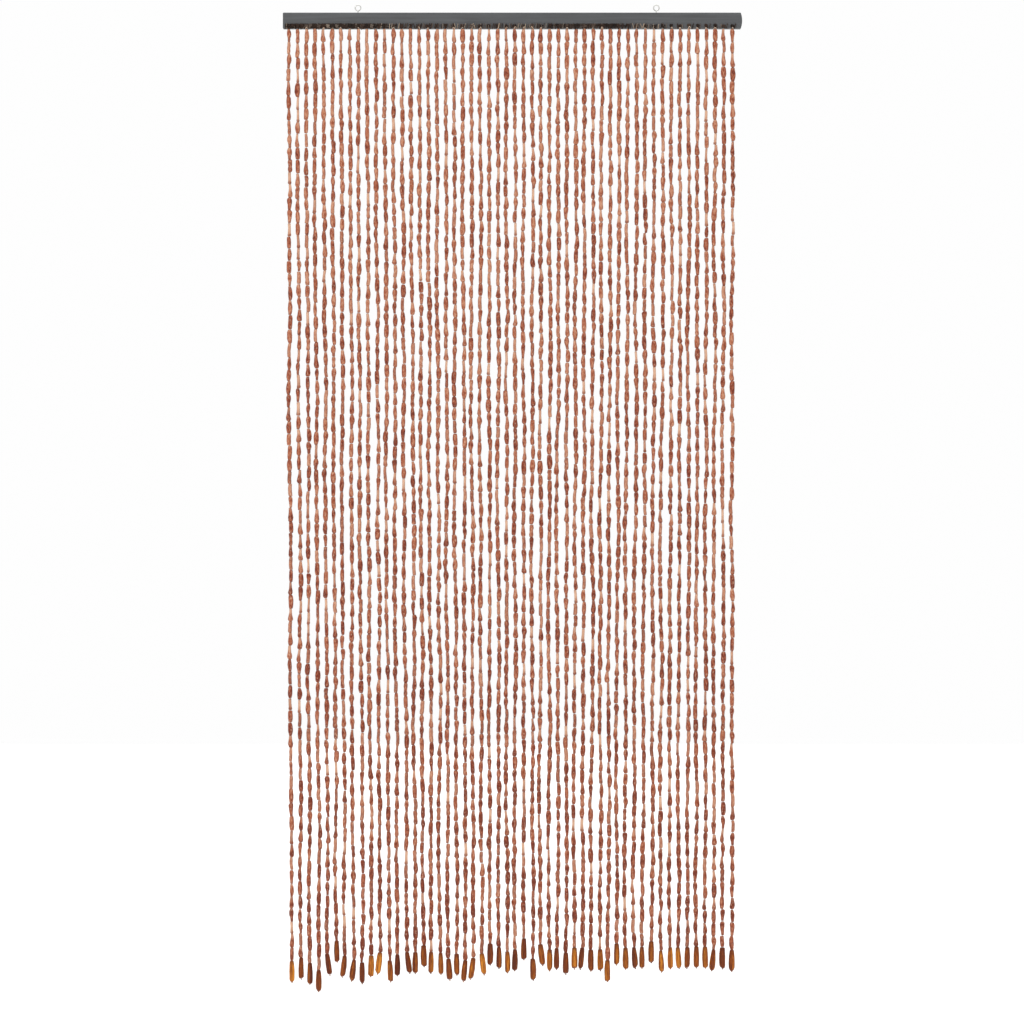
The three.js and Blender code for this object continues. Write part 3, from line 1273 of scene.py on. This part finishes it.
@dataclass
class TwistedCord:
    """The recipe for thread and cord: a lobed section that turns as it runs along a line."""

    lobes: int = 3
    lobe_depth: float = 0.2

    def recipe(self) -> Recipe:
        """Writes the recipe.

        Returns:
            The recipe, whose carrier is a mesh of edges along the cords.
        """
        recipe = Recipe("twisted_cord")
        radius = recipe.named("Radius")
        lay = recipe.named("Lay")
        step = recipe.named("Step")
        sides = recipe.named("Sides", InputKind.COUNT)
        stain = recipe.named("Stain", InputKind.STAIN)
        lines = smooth_lines(recipe, recipe.inlet.outputs[0])
        feeds = {"Curve": lines, "Length": step}
        even = recipe.add("GeometryNodeResampleCurve", feeds, mode="LENGTH").outputs[0]
        run = recipe.add("GeometryNodeSplineParameter").outputs["Length"]
        tilt = recipe.math("MULTIPLY", recipe.math("DIVIDE", run, lay), 2 * math.pi)
        turning = recipe.add("GeometryNodeSetCurveTilt", {"Curve": even, "Tilt": tilt}).outputs[0]
        feeds = {"Resolution": sides, "Radius": radius}
        circle = recipe.add("GeometryNodeCurvePrimitiveCircle", feeds).outputs[0]
        corner = recipe.add("GeometryNodeInputIndex").outputs[0]
        turned = recipe.math("DIVIDE", corner, sides)
        wave = recipe.math("COSINE", recipe.math("MULTIPLY", turned, 2 * math.pi * self.lobes))
        swell = recipe.math("ADD", recipe.math("MULTIPLY", wave, self.lobe_depth), 1.0 - self.lobe_depth)
        place = recipe.add("GeometryNodeInputPosition").outputs[0]
        feeds = {"Vector": place, "Scale": swell}
        moved = recipe.add("ShaderNodeVectorMath", feeds, operation="SCALE").outputs[0]
        feeds = {"Geometry": circle, "Position": moved}
        section = recipe.add("GeometryNodeSetPosition", feeds).outputs[0]
        feeds = {"Curve": turning, "Profile Curve": section, "Fill Caps": True}
        recipe.close(recipe.add("GeometryNodeCurveToMesh", feeds).outputs[0], stain)
        return recipe


@dataclass
class PlacedForms:
    """The recipe for what is set one to a point: knots, wraps and end beads."""

    def recipe(self) -> Recipe:
        """Writes the recipe.

        Returns:
            The recipe, whose carrier's points keep the way each form points, and its size.
        """
        recipe = Recipe("placed_forms")
        tilt = recipe.named("Tilt")
        spin = recipe.named("Spin")
        seed = recipe.named("Seed", InputKind.COUNT)
        forms = recipe.named("Forms", InputKind.FORMS)
        stain = recipe.named("Stain", InputKind.STAIN)
        kept, vector = "GeometryNodeInputNamedAttribute", "FLOAT_VECTOR"
        aim = recipe.add(kept, {"Name": "aim"}, data_type=vector).outputs[0]
        scale = recipe.add(kept, {"Name": "size"}, data_type=vector).outputs[0]
        placed = recipe.hang(recipe.inlet.outputs[0], aim, scale, tilt, spin, seed, forms)
        recipe.close(placed, stain)
        return recipe

    @staticmethod
    def carrier(
        name: str, places: Sequence[Vector], aims: Sequence[Vector], sizes: Sequence[Vector]
    ) -> bpy.types.Mesh:
        """Makes the mesh of points that the recipe starts from.

        Args:
            name: The mesh's name.
            places: Where the forms go.
            aims: The way each form's foot points.
            sizes: Each form's size along its own three axes.

        Returns:
            The mesh.
        """
        mesh = bpy.data.meshes.new(name)
        mesh.from_pydata([tuple(place) for place in places], [], [])
        keep_vectors(mesh, "aim", aims)
        keep_vectors(mesh, "size", sizes)
        return mesh


@dataclass(frozen=True)
class EndBeadShape:
    """How one end bead was carved, with its length and its full width as 1."""

    shoulder: float
    widest: float
    bevel: float
    foot: float
    slant: float
    bow: float
    top: float = 0.62
    top_edge: float = 0.05
    taper: float = 0.08
    foot_curve: float = 1.4

    @staticmethod
    def chosen(chance: random.Random) -> EndBeadShape:
        """Picks a shape by chance.

        Args:
            chance: The source of chance.

        Returns:
            The shape.
        """
        return EndBeadShape(
            shoulder=chance.uniform(0.56, 0.78),
            widest=chance.uniform(0.5, 0.78),
            bevel=chance.uniform(0.06, 0.16),
            foot=chance.uniform(0.38, 0.6),
            slant=chance.uniform(0.0, 0.06),
            bow=chance.uniform(-0.05, 0.05),
        )

    def radius(self, down: float) -> float:
        """Works out how thick the bead is.

        Args:
            down: The share of the way down it.

        Returns:
            Its radius there.
        """
        rise = min(down / self.widest, 1.0)
        body = self.shoulder + (1 - self.shoulder) * math.sin(math.pi / 2 * rise)
        past = max(0.0, (down - self.widest) / (1 - self.widest))
        body *= 1 - self.taper * past
        cut = max(0.0, (down - 1 + self.bevel) / self.bevel)
        rounding = math.sqrt(1 - (1 - min(down / self.top_edge, 1.0)) ** 2)
        top = self.top + (1 - self.top) * rounding
        return 0.5 * body * top * (1 - (1 - self.foot) * cut**self.foot_curve)


@dataclass
class EndBeads:
    """The long carved beads at the strings' feet, each stopped by a small knot."""

    strands: Sequence[Strand]
    width: float = mm(11.8)
    width_shares: tuple[float, float] = (0.92, 1.06)
    wood_share: float = 0.95
    sides: int = 26
    rows: tuple[float, ...] = (
        0, 0.012, 0.03, 0.055, 0.1, 0.18, 0.28, 0.4, 0.52,
        0.64, 0.75, 0.84, 0.9, 0.94, 0.97, 0.99, 1,
    )
    kinds: int = 12
    groove_counts: tuple[int, ...] = (5, 6, 7)
    groove_stray: float = 0.28
    groove_depth: float = 0.1
    groove_width: float = 0.15
    waver: float = 0.012
    slant_from: float = 0.8
    top_shade_span: float = 0.24
    foot_rim: float = 0.1
    foot_rim_share: float = 0.7
    gilded: tuple[int, ...] = (1, 10, 11, 23, 34, 37, 45, 46)
    gilded_tone: float = 0.68
    browned: tuple[int, ...] = (3, 5, 6, 7, 9)
    browned_tone: float = 0.08
    stained_tones: tuple[float, float] = (0.22, 0.44)
    knot_width: float = mm(3.3)
    knot_height: float = mm(2.8)
    knot_below: float = 0.03
    knot_kinds: int = 3
    seed: int = 31

    def _mesh(self, kind: int) -> bpy.types.Mesh:
        """Carves one end bead with its long facets and the grooves between them.

        Args:
            kind: Which of the end beads it is.

        Returns:
            The bead's mesh, 1 long and about 1 wide, with its grooves, its painted shade at the top and
            darker foot, and its facets marked.
        """
        chance = random.Random(f"end bead {kind}")
        shape = EndBeadShape.chosen(chance)
        count = chance.choice(self.groove_counts)
        start = chance.uniform(0, 2 * math.pi)
        stray = self.groove_stray
        grooves = [start + 2 * math.pi * (n + chance.uniform(-stray, stray)) / count for n in range(count)]
        strengths = [chance.uniform(0.35, 1.0) for _ in grooves]
        facets = [chance.uniform(-1.0, 1.0) for _ in grooves]
        rows, marks, end_shades_and_dark_feet, tones = [], [], [], []
        for down in self.rows:
            fade = math.sin(math.pi * down) ** 0.5 if 0 < down < 1 else 0.0
            middle = shape.bow * math.sin(math.pi * down)
            ring = []
            for side in range(self.sides):
                turn = 2 * math.pi * side / self.sides
                deepest = max(self._groove(turn, at) * deep for at, deep in zip(grooves, strengths))
                mark = deepest * fade
                waver = chance.uniform(-self.waver, self.waver)
                reach = shape.radius(down) * (1 - self.groove_depth * mark + waver)
                slanted = max(0.0, down - self.slant_from) / (1 - self.slant_from)
                drop = min(1.0, down + shape.slant * math.cos(turn) * slanted)
                ring.append(Vector((middle + reach * math.cos(turn), reach * math.sin(turn), -drop)))
                marks.append(mark)
                # painted shade over the top, where the small bead above meets it, and darker at the foot
                foot = max(0.0, (down - 1 + self.foot_rim) / self.foot_rim)
                end_shades_and_dark_feet.append(max(0.0, 1 - down / self.top_shade_span) + self.foot_rim_share * foot)
                tones.append(self._facet(turn, grooves, facets))
            rows.append(ring)
        mesh = turned_mesh(f"end_bead_{kind}", rows)
        for name, values in (("groove", marks), ("rim", end_shades_and_dark_feet), ("facet", tones)):
            keep_values(mesh, name, values)
        return mesh

    def _groove(self, turn: float, at: float) -> float:
        """Returns how deep in a groove an angle lies, from 0 to 1."""
        off = math.remainder(turn - at, 2 * math.pi)
        return math.exp(-((off / self.groove_width) ** 2))

    def _facet(self, turn: float, grooves: Sequence[float], facets: Sequence[float]) -> float:
        """Returns the tone of the facet that an angle lies on, which starts at the groove behind it."""
        behind = [(turn - groove) % (2 * math.pi) for groove in grooves]
        return facets[behind.index(min(behind))]

    def _tone(self, string: int, chance: random.Random) -> float:
        """Picks how golden or brown an end bead is stained.

        Args:
            string: The bead's string, counted from 1 at the left.
            chance: The source of chance, which is drawn from once.

        Returns:
            The tone, from 0 for brown to 1 for gold.
        """
        usual = chance.uniform(*self.stained_tones)
        if string in self.gilded:
            return self.gilded_tone
        return self.browned_tone if string in self.browned else usual

    def build(self, recipe: Recipe, stain: bpy.types.Material) -> bpy.types.Object:
        """Hangs the end beads.

        Args:
            recipe: The recipe for placed forms.
            stain: The beads' finish.

        Returns:
            The piece with all the end beads.
        """
        chance = random.Random(self.seed)
        aims = [(s.tip - s.bead_top).normalized() for s in self.strands]
        sizes = []
        for strand in self.strands:
            wide = self.width * chance.uniform(*self.width_shares)
            sizes.append(Vector((wide, wide, (strand.tip - strand.bead_top).length * self.wood_share)))
        places = [strand.bead_top for strand in self.strands]
        carrier = PlacedForms.carrier("end_beads", places, aims, sizes)
        keep_values(carrier, "gilding", [self._tone(n + 1, chance) for n in range(len(self.strands))])
        forms = FormSet("end_bead_form")
        for kind in range(self.kinds):
            forms.put(self._mesh(kind))
        values = {"Tilt": 0.0, "Spin": math.pi, "Seed": self.seed, "Stain": stain}
        return recipe.place("end_beads", carrier, forms, values)

    def tie(self, recipe: Recipe, stain: bpy.types.Material) -> bpy.types.Object:
        """Ties the knot under each end bead.

        Args:
            recipe: The recipe for placed forms.
            stain: The knots' finish.

        Returns:
            The piece with all the knots.
        """
        aims, places, sizes = [], [], []
        for strand in self.strands:
            way = strand.tip - strand.bead_top
            aims.append(way.normalized())
            places.append(strand.bead_top + way * (self.wood_share + self.knot_below))
            sizes.append(Vector((self.knot_width, self.knot_width, self.knot_height)))
        forms = FormSet("stop_knot_form")
        for kind in range(self.knot_kinds):
            forms.put(Knot(thickness=0.17, tails=0, kind=kind).mesh())
        carrier = PlacedForms.carrier("stop_knots", places, aims, sizes)
        values = {"Tilt": 0.3, "Spin": math.pi, "Seed": self.seed, "Stain": stain}
        return recipe.place("stop_knots", carrier, forms, values)


@dataclass
class Knot:
    """A simple knot of cord, about 1 across and 1 deep along each axis."""

    thickness: float = 0.15
    tails: int = 1
    kind: int = 0
    depth: float = 0.8
    waver: float = 0.06
    steps: int = 30
    sides: int = 6
    tail_rows: tuple[tuple[float, float], ...] = ((0, 0.7), (0.25, 0.7), (0.5, 0.66), (0.75, 0.6), (1, 0.45))

    def mesh(self) -> bpy.types.Mesh:
        """Ties the knot: a trefoil of cord, with its tails.

        Returns:
            The knot as one mesh.
        """
        chance = random.Random(f"knot {self.kind}")
        inner = 0.5 - self.thickness
        line = []
        for step in range(self.steps):
            turn = 2 * math.pi * step / self.steps
            x = (math.sin(turn) + 2 * math.sin(2 * turn)) / 3
            y = (math.cos(turn) - 2 * math.cos(2 * turn)) / 3
            z = -math.sin(3 * turn) * self.depth
            waver = 1 + chance.uniform(-self.waver, self.waver)
            line.append(Vector((x * inner * waver, z * inner, y * inner * waver)))
        radii = [self.thickness * chance.uniform(0.9, 1.08) for _ in line]
        parts = [swept_mesh("knot", line, radii, self.sides, closed=True)]
        for _ in range(self.tails):
            parts.append(self._tail(chance))
        return joined_mesh(f"knot_{self.kind}", parts)

    def _tail(self, chance: random.Random) -> bpy.types.Mesh:
        """Lays one short loose end that curls away from the knot.

        Args:
            chance: The source of chance.

        Returns:
            The loose end's mesh.
        """
        angle = chance.uniform(0, 2 * math.pi)
        way = Vector((math.cos(angle), -chance.uniform(0.1, 0.6), math.sin(angle))).normalized()
        droop = Vector((chance.uniform(-0.2, 0.2), 0.0, -chance.uniform(0.1, 0.4)))
        line = [way * (0.25 + 0.45 * share) + droop * share**2 for share, _ in self.tail_rows]
        radii = [self.thickness * size for _, size in self.tail_rows]
        return swept_mesh("tail", line, radii, self.sides, closed=False)


def joined_mesh(name: str, parts: Sequence[bpy.types.Mesh]) -> bpy.types.Mesh:
    """Joins meshes into one smooth mesh.

    Args:
        name: The mesh's name.
        parts: The meshes.

    Returns:
        The joined mesh.
    """
    whole = bmesh.new()
    for part in parts:
        whole.from_mesh(part)
    mesh = bpy.data.meshes.new(name)
    whole.to_mesh(mesh)
    whole.free()
    mesh.shade_smooth()
    return mesh


@dataclass(frozen=True)
class CordZone:
    """A stretch of the heading, up to one place along it, with its stitches' spacing and fading."""

    until: float
    gap: tuple[float, float]
    fading: tuple[float, ...]


@dataclass
class Heading:
    """The dark knotted cord along the batten's lower front edge, which holds the strings."""

    strands: Sequence[Strand]
    bottom: float
    cord_radius: float = mm(1.1)
    cord_lay: float = mm(5.5)
    cord_step: float = mm(1.1)
    cord_sides: int = 9
    bend_spacing: float = mm(8)
    wrap_radius: float = mm(0.85)
    wrap_route: tuple[tuple[float, float], ...] = (
        (0.12, 1.0), (0.55, 0.97), (0.9, 0.86), (1.0, 0.64),
        (1.0, 0.36), (0.86, 0.14), (0.5, 0.03), (0.12, 0.0),
    )
    wrap_kinds: int = 10
    knot_kinds: int = 6
    knot_depth: float = mm(4.0)
    knot_front: float = mm(2.0)
    knot_front_over_cords: float = mm(3.4)
    knot_fading: tuple[float, ...] = (0.0, 0.0, 0.1)
    extra_knot_fading: tuple[float, ...] = (0.0, 0.2, 0.4)
    loop_kinds: int = 3
    loop_radius: float = mm(0.5)
    loop_steps: int = 10
    loop_share: float = 0.7
    dense_to: float = mm(-262)
    close_from: float = mm(70)
    close_to: float = mm(230)
    zones: tuple[CordZone, ...] = (
        CordZone(mm(-262), (mm(1.5), mm(2.5)), (0.0, 0.0, 0.0, 0.14, 0.3)),
        CordZone(mm(70), (mm(2.8), mm(5.4)), (0.05, 0.2, 0.35, 0.5)),
        CordZone(mm(215), (mm(2.0), mm(3.6)), (0.0, 0.0, 0.12, 0.3)),
        CordZone(mm(300), (mm(3.2), mm(6.0)), (0.05, 0.2, 0.35, 0.5)),
        CordZone(mm(1000), (mm(9), mm(24)), (0.1, 0.3, 0.45)),
    )
    seed: int = 19

    def __post_init__(self) -> None:
        """Works out the band that the cord fills on the batten's front face."""
        strip_low, strip_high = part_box("string_curtain")
        self.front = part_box("header_batten")[0].y
        self.left, self.right = strip_low.x, strip_high.x
        self.top = strip_high.z
        self.height = self.top - self.bottom

    def running_cords(self, recipe: Recipe, stain: bpy.types.Material) -> bpy.types.Object:
        """Lays the cords that run along the front, most of them at the left end.

        Args:
            recipe: The recipe for twisted cord.
            stain: The cord's finish.

        Returns:
            The piece with the running cords.
        """
        chance = random.Random(self.seed)
        # how far down the band each cord lies, and where it starts and ends
        rows = (
            (0.13, self.left, self.dense_to + mm(18)),
            (0.36, self.left + mm(1.5), self.dense_to + mm(34)),
            (0.6, self.left + mm(0.8), self.dense_to),
            (0.84, self.left + mm(2.0), self.dense_to + mm(30)),
            (0.4, self.close_from, self.close_to),
            (0.16, self.close_from + mm(12), self.close_to - mm(25)),
        )
        lines = []
        for down, start, end in rows:
            count = int((end - start) / self.bend_spacing)
            line = []
            for step in range(count + 1):
                x = start + (end - start) * step / count
                z = self.top - self.height * down + mm(chance.uniform(-0.4, 0.4))
                y = self.front - self.cord_radius - mm(chance.uniform(0.3, 0.6))
                line.append(Vector((x, y, z)))
            lines.append(line)
        values = {
            "Radius": self.cord_radius,
            "Lay": self.cord_lay,
            "Step": self.cord_step,
            "Sides": self.cord_sides,
            "Stain": stain,
        }
        return recipe.make("heading_cords", line_mesh("heading_cords", lines), values)

    def _wrap_mesh(self, kind: int) -> bpy.types.Mesh:
        """Bends one slanting stitch that holds the running cords: out over them, down and back in.

        Args:
            kind: Which of the stitches it is.

        Returns:
            The stitch's mesh, in its true size.
        """
        chance = random.Random(f"wrap {kind}")
        reach = self.height * chance.uniform(0.8, 1.0)
        slant = mm(chance.uniform(0.4, 3.0)) * chance.choice((1, 1, -1))
        bulge = mm(chance.uniform(2.7, 3.3))
        lift = self.height - reach if chance.random() < 0.7 else 0.0
        line = []
        for out, up in self.wrap_route:
            line.append(Vector((slant * (up - 0.5), -bulge * out, lift + reach * up)))
        radii = [self.wrap_radius * chance.uniform(0.85, 1.12) for _ in line]
        return swept_mesh(f"wrap_{kind}", line, radii, 6, closed=False)

    def wraps(self, recipe: Recipe, stain: bpy.types.Material) -> bpy.types.Object:
        """Binds the running cords with stitches, close at the left end and sparse at the right.

        Args:
            recipe: The recipe for placed forms.
            stain: The cord's finish.

        Returns:
            The piece with all the stitches.
        """
        chance = random.Random(self.seed + 1)
        places, sizes, fading = [], [], []
        x = self.left + mm(1.2)
        while x < self.right - mm(1):
            zone = next(zone for zone in self.zones if x < zone.until)
            places.append(Vector((x, self.front, self.bottom)))
            wide = chance.uniform(0.85, 1.3)
            sizes.append(Vector((wide, chance.uniform(0.9, 1.1), chance.uniform(0.94, 1.02))))
            fading.append(chance.choice(zone.fading))
            x += chance.uniform(*zone.gap)
        forms = FormSet("wrap_form")
        for kind in range(self.wrap_kinds):
            forms.put(self._wrap_mesh(kind))
        carrier = PlacedForms.carrier("heading_wraps", places, [DOWN] * len(places), sizes)
        keep_values(carrier, "fading", fading)
        values = {"Tilt": 0.04, "Spin": 0.08, "Seed": self.seed + 2, "Stain": stain}
        return recipe.place("heading_wraps", carrier, forms, values)

    def knots(self, recipe: Recipe, stain: bpy.types.Material) -> bpy.types.Object:
        """Ties the knot that each string hangs from, and a fainter one between strings where they are dense.

        Args:
            recipe: The recipe for placed forms.
            stain: The cord's finish.

        Returns:
            The piece with all the knots.
        """
        chance = random.Random(self.seed + 3)
        places, sizes, fading = [], [], []
        roots = [strand.line[0].x for strand in self.strands]
        between = [(root + after) / 2 for root, after in zip(roots, roots[1:]) if root < self.dense_to]
        for x in roots + between:
            over_cords = x < self.dense_to or self.close_from < x < self.close_to
            y = self.front - (self.knot_front_over_cords if over_cords else self.knot_front)
            z = self.bottom + self.height * chance.uniform(0.42, 0.62)
            places.append(Vector((x + mm(chance.uniform(-0.8, 0.8)), y, z)))
            wide, tall = mm(chance.uniform(7.4, 9.2)), mm(chance.uniform(8.2, 10.2))
            sizes.append(Vector((wide, self.knot_depth, tall)))
            fading.append(chance.choice(self.knot_fading if x in roots else self.extra_knot_fading))
        forms = FormSet("knot_form")
        for kind in range(self.knot_kinds):
            forms.put(Knot(tails=1 + kind % 2, kind=kind).mesh())
        carrier = PlacedForms.carrier("heading_knots", places, [DOWN] * len(places), sizes)
        keep_values(carrier, "fading", fading)
        values = {"Tilt": 0.25, "Spin": 0.35, "Seed": self.seed + 4, "Stain": stain}
        return recipe.place("heading_knots", carrier, forms, values)

    def thread_loops(self, recipe: Recipe, stain: bpy.types.Material) -> bpy.types.Object:
        """Loops the pale thread over the heading's lower edge above most strings.

        Args:
            recipe: The recipe for placed forms.
            stain: The thread's finish.

        Returns:
            The piece with all the loops.
        """
        chance = random.Random(self.seed + 5)
        places = [strand.line[0] for strand in self.strands if chance.random() < self.loop_share]
        sizes = [Vector((chance.uniform(0.8, 1.2), 1.0, chance.uniform(0.6, 1.25))) for _ in places]
        forms = FormSet("loop_form")
        for kind in range(self.loop_kinds):
            forms.put(self._loop_mesh(kind))
        carrier = PlacedForms.carrier("thread_loops", places, [DOWN] * len(places), sizes)
        values = {"Tilt": 0.1, "Spin": 0.5, "Seed": self.seed + 6, "Stain": stain}
        return recipe.place("thread_loops", carrier, forms, values)

    def _loop_mesh(self, kind: int) -> bpy.types.Mesh:
        """Bends one loop of thread, which comes out over the cord and goes back in.

        Args:
            kind: Which of the loops it is. Each is wider and taller than the one before.

        Returns:
            The loop's mesh, in its true size.
        """
        half, rise = mm(1.5 + 0.3 * kind), mm(3.0 + 0.5 * kind)
        line = []
        for step in range(self.loop_steps + 1):
            turn = math.pi * step / self.loop_steps
            ahead = mm(-2.6) * math.sin(turn) - mm(0.6)
            line.append(Vector((-half * math.cos(turn), ahead, rise * math.sin(turn) - mm(0.8))))
        return swept_mesh(f"loop_{kind}", line, [self.loop_radius] * len(line), 6, closed=False)


@dataclass
class Curtain:
    """Everything that hangs from the batten."""

    strands: Sequence[Strand]
    heading_bottom: float
    thread_radius: float = mm(0.55)
    thread_lay: float = 1000.0
    thread_step: float = mm(24)
    thread_sides: int = 5
    thread_lift: float = mm(3)

    def _settle(self, piece: bpy.types.Object) -> None:
        """Hides the string curtain's node, sets the piece on the body that it rides on, and logs its faces.

        Args:
            piece: The piece.
        """
        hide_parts("string_curtain")
        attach(piece, BODY)
        LOG.info("%s: %d faces", piece.name, len(piece.data.polygons))

    def build(self) -> None:
        """Makes the heading, the threads, the beads and the end beads."""
        cord = TwistedCord().recipe()
        placed = PlacedForms().recipe()
        dark = HeadingCord().material()
        thread = StringThread().material()
        heading = Heading(self.strands, self.heading_bottom)
        self._settle(heading.running_cords(cord, dark))
        self._settle(heading.wraps(placed, dark))
        self._settle(heading.knots(placed, dark))
        self._settle(heading.thread_loops(placed, thread))
        self._settle(self._threads(cord, thread))

        for piece in BeadStrings(self.strands).build(BeadStain().material()):
            self._settle(piece)

        end_beads = EndBeads(self.strands)
        self._settle(end_beads.build(placed, EndBeadStain().material()))
        self._settle(end_beads.tie(placed, KnotStain().material()))

    def _threads(self, recipe: Recipe, stain: bpy.types.Material) -> bpy.types.Object:
        """Runs one thread down each string, from inside the heading to the end bead's tip.

        Args:
            recipe: The recipe for twisted cord.
            stain: The thread's finish.

        Returns:
            The piece with all the threads.
        """
        lift = Vector((0.0, 0.0, self.thread_lift))
        lines = [(strand.line[0] + lift, *strand.line, strand.tip) for strand in self.strands]
        values = {
            "Radius": self.thread_radius,
            "Lay": self.thread_lay,
            "Step": self.thread_step,
            "Sides": self.thread_sides,
            "Stain": stain,
        }
        return recipe.make("threads", line_mesh("threads", lines), values)


@dataclass(frozen=True)
class Lamp:
    """One soft rectangular lamp."""

    name: str
    place: tuple[float, float, float]
    width: float
    height: float
    power: float


@dataclass
class Studio:
    """The floor, the light and the camera, in the photograph's square frame."""

    frame_width: float = 2.008
    centre_x: float = mm(-1.0)
    centre_z: float = mm(-988.5)
    lens: float = 135.0
    sensor: float = 36.0
    floor_z: float = mm(-1989)
    floor_reach: float = 9.0
    sky: float = 0.99
    flags: float = 0.5
    overhead: float = 1.3
    lamps: tuple[Lamp, ...] = (
        Lamp("key", (-1.9, -3.2, 0.9), 0.7, 2.4, 28.0),
        Lamp("fill", (2.6, -3.4, -0.6), 1.2, 2.0, 4.0),
    )

    def build_floor(self) -> None:
        """Lays the floor."""
        far = self.floor_reach
        corners = ((-far, -far), (far, -far), (far, far), (-far, far))
        points = [Vector((x, y, self.floor_z)) for x, y in corners]
        floor = add_object("floor", mesh_of("floor", points, [(0, 1, 2, 3)]))
        floor.data.materials.append(FloorPaint().material())

    def build_sky(self) -> None:
        """Makes the world a white tent, dimmer at its two sides and brighter overhead."""
        world = bpy.data.worlds.new("tent")
        world.use_nodes = True
        wiring = Wiring(world.node_tree)
        background = next(node for node in world.node_tree.nodes if node.type == "BACKGROUND")
        way = wiring.add("ShaderNodeTexCoord").outputs["Generated"]
        parts = wiring.add("ShaderNodeSeparateXYZ", {"Vector": way})
        aside = wiring.math("ABSOLUTE", parts.outputs["X"])
        walls = wiring.spread(aside, 0.35, 0.8, self.sky, self.flags)
        above = wiring.spread(parts.outputs["Z"], 0.65, 0.9, 0.0, self.overhead)
        wiring.tree.links.new(wiring.math("ADD", walls, above), background.inputs["Strength"])
        background.inputs["Color"].default_value = (1.0, 1.0, 1.0, 1.0)
        bpy.context.scene.world = world

    def build_lamps(self) -> None:
        """Sets a tall soft lamp at the front left and a weaker one at the front right."""
        target = Vector((0.0, 0.0, self.centre_z))
        for lamp in self.lamps:
            light = bpy.data.lights.new(lamp.name, "AREA")
            light.energy = lamp.power
            light.shape = "RECTANGLE"
            light.size = lamp.width
            light.size_y = lamp.height
            hung = bpy.data.objects.new(lamp.name, light)
            bpy.context.scene.collection.objects.link(hung)
            hung.location = lamp.place
            hung.rotation_euler = (target - hung.location).to_track_quat("-Z", "Y").to_euler()

    def build_camera(self) -> None:
        """Sets the camera square to the curtain, as far off as the lens needs."""
        camera = bpy.data.objects.new("camera", bpy.data.cameras.new("camera"))
        bpy.context.scene.collection.objects.link(camera)
        camera.data.lens = self.lens
        camera.data.sensor_width = self.sensor
        distance = self.frame_width * self.lens / self.sensor
        camera.location = (self.centre_x, -distance, self.centre_z)
        camera.rotation_euler = (math.pi / 2, 0.0, 0.0)
        bpy.context.scene.camera = camera
        bpy.context.scene.view_settings.view_transform = "Standard"


def main() -> None:
    """Builds the whole scene around the frame."""
    logging.basicConfig(level=logging.INFO, format="%(message)s")
    for start in list(bpy.data.objects):
        bpy.data.objects.remove(start)
    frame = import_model()
    studio = Studio()
    studio.build_camera()
    studio.build_sky()
    studio.build_lamps()
    studio.build_floor()
    Batten(frame["nodes"]["header_batten"]).build()
    steel = EyeSteel().material()
    ScrewEye("screw_eye_left", "eye_left", mouth_side=-1.0).build(steel)
    ScrewEye("screw_eye_right", "eye_right", mouth_side=1.0).build(steel)
    reader = StrandReader(frame["nodes"]["string_curtain"], "string_curtain")
    strands = reader.read()
    LOG.info("strands: %d", len(strands))
    Curtain(strands, reader.root_z).build()


if __name__ == "__main__":
    main()
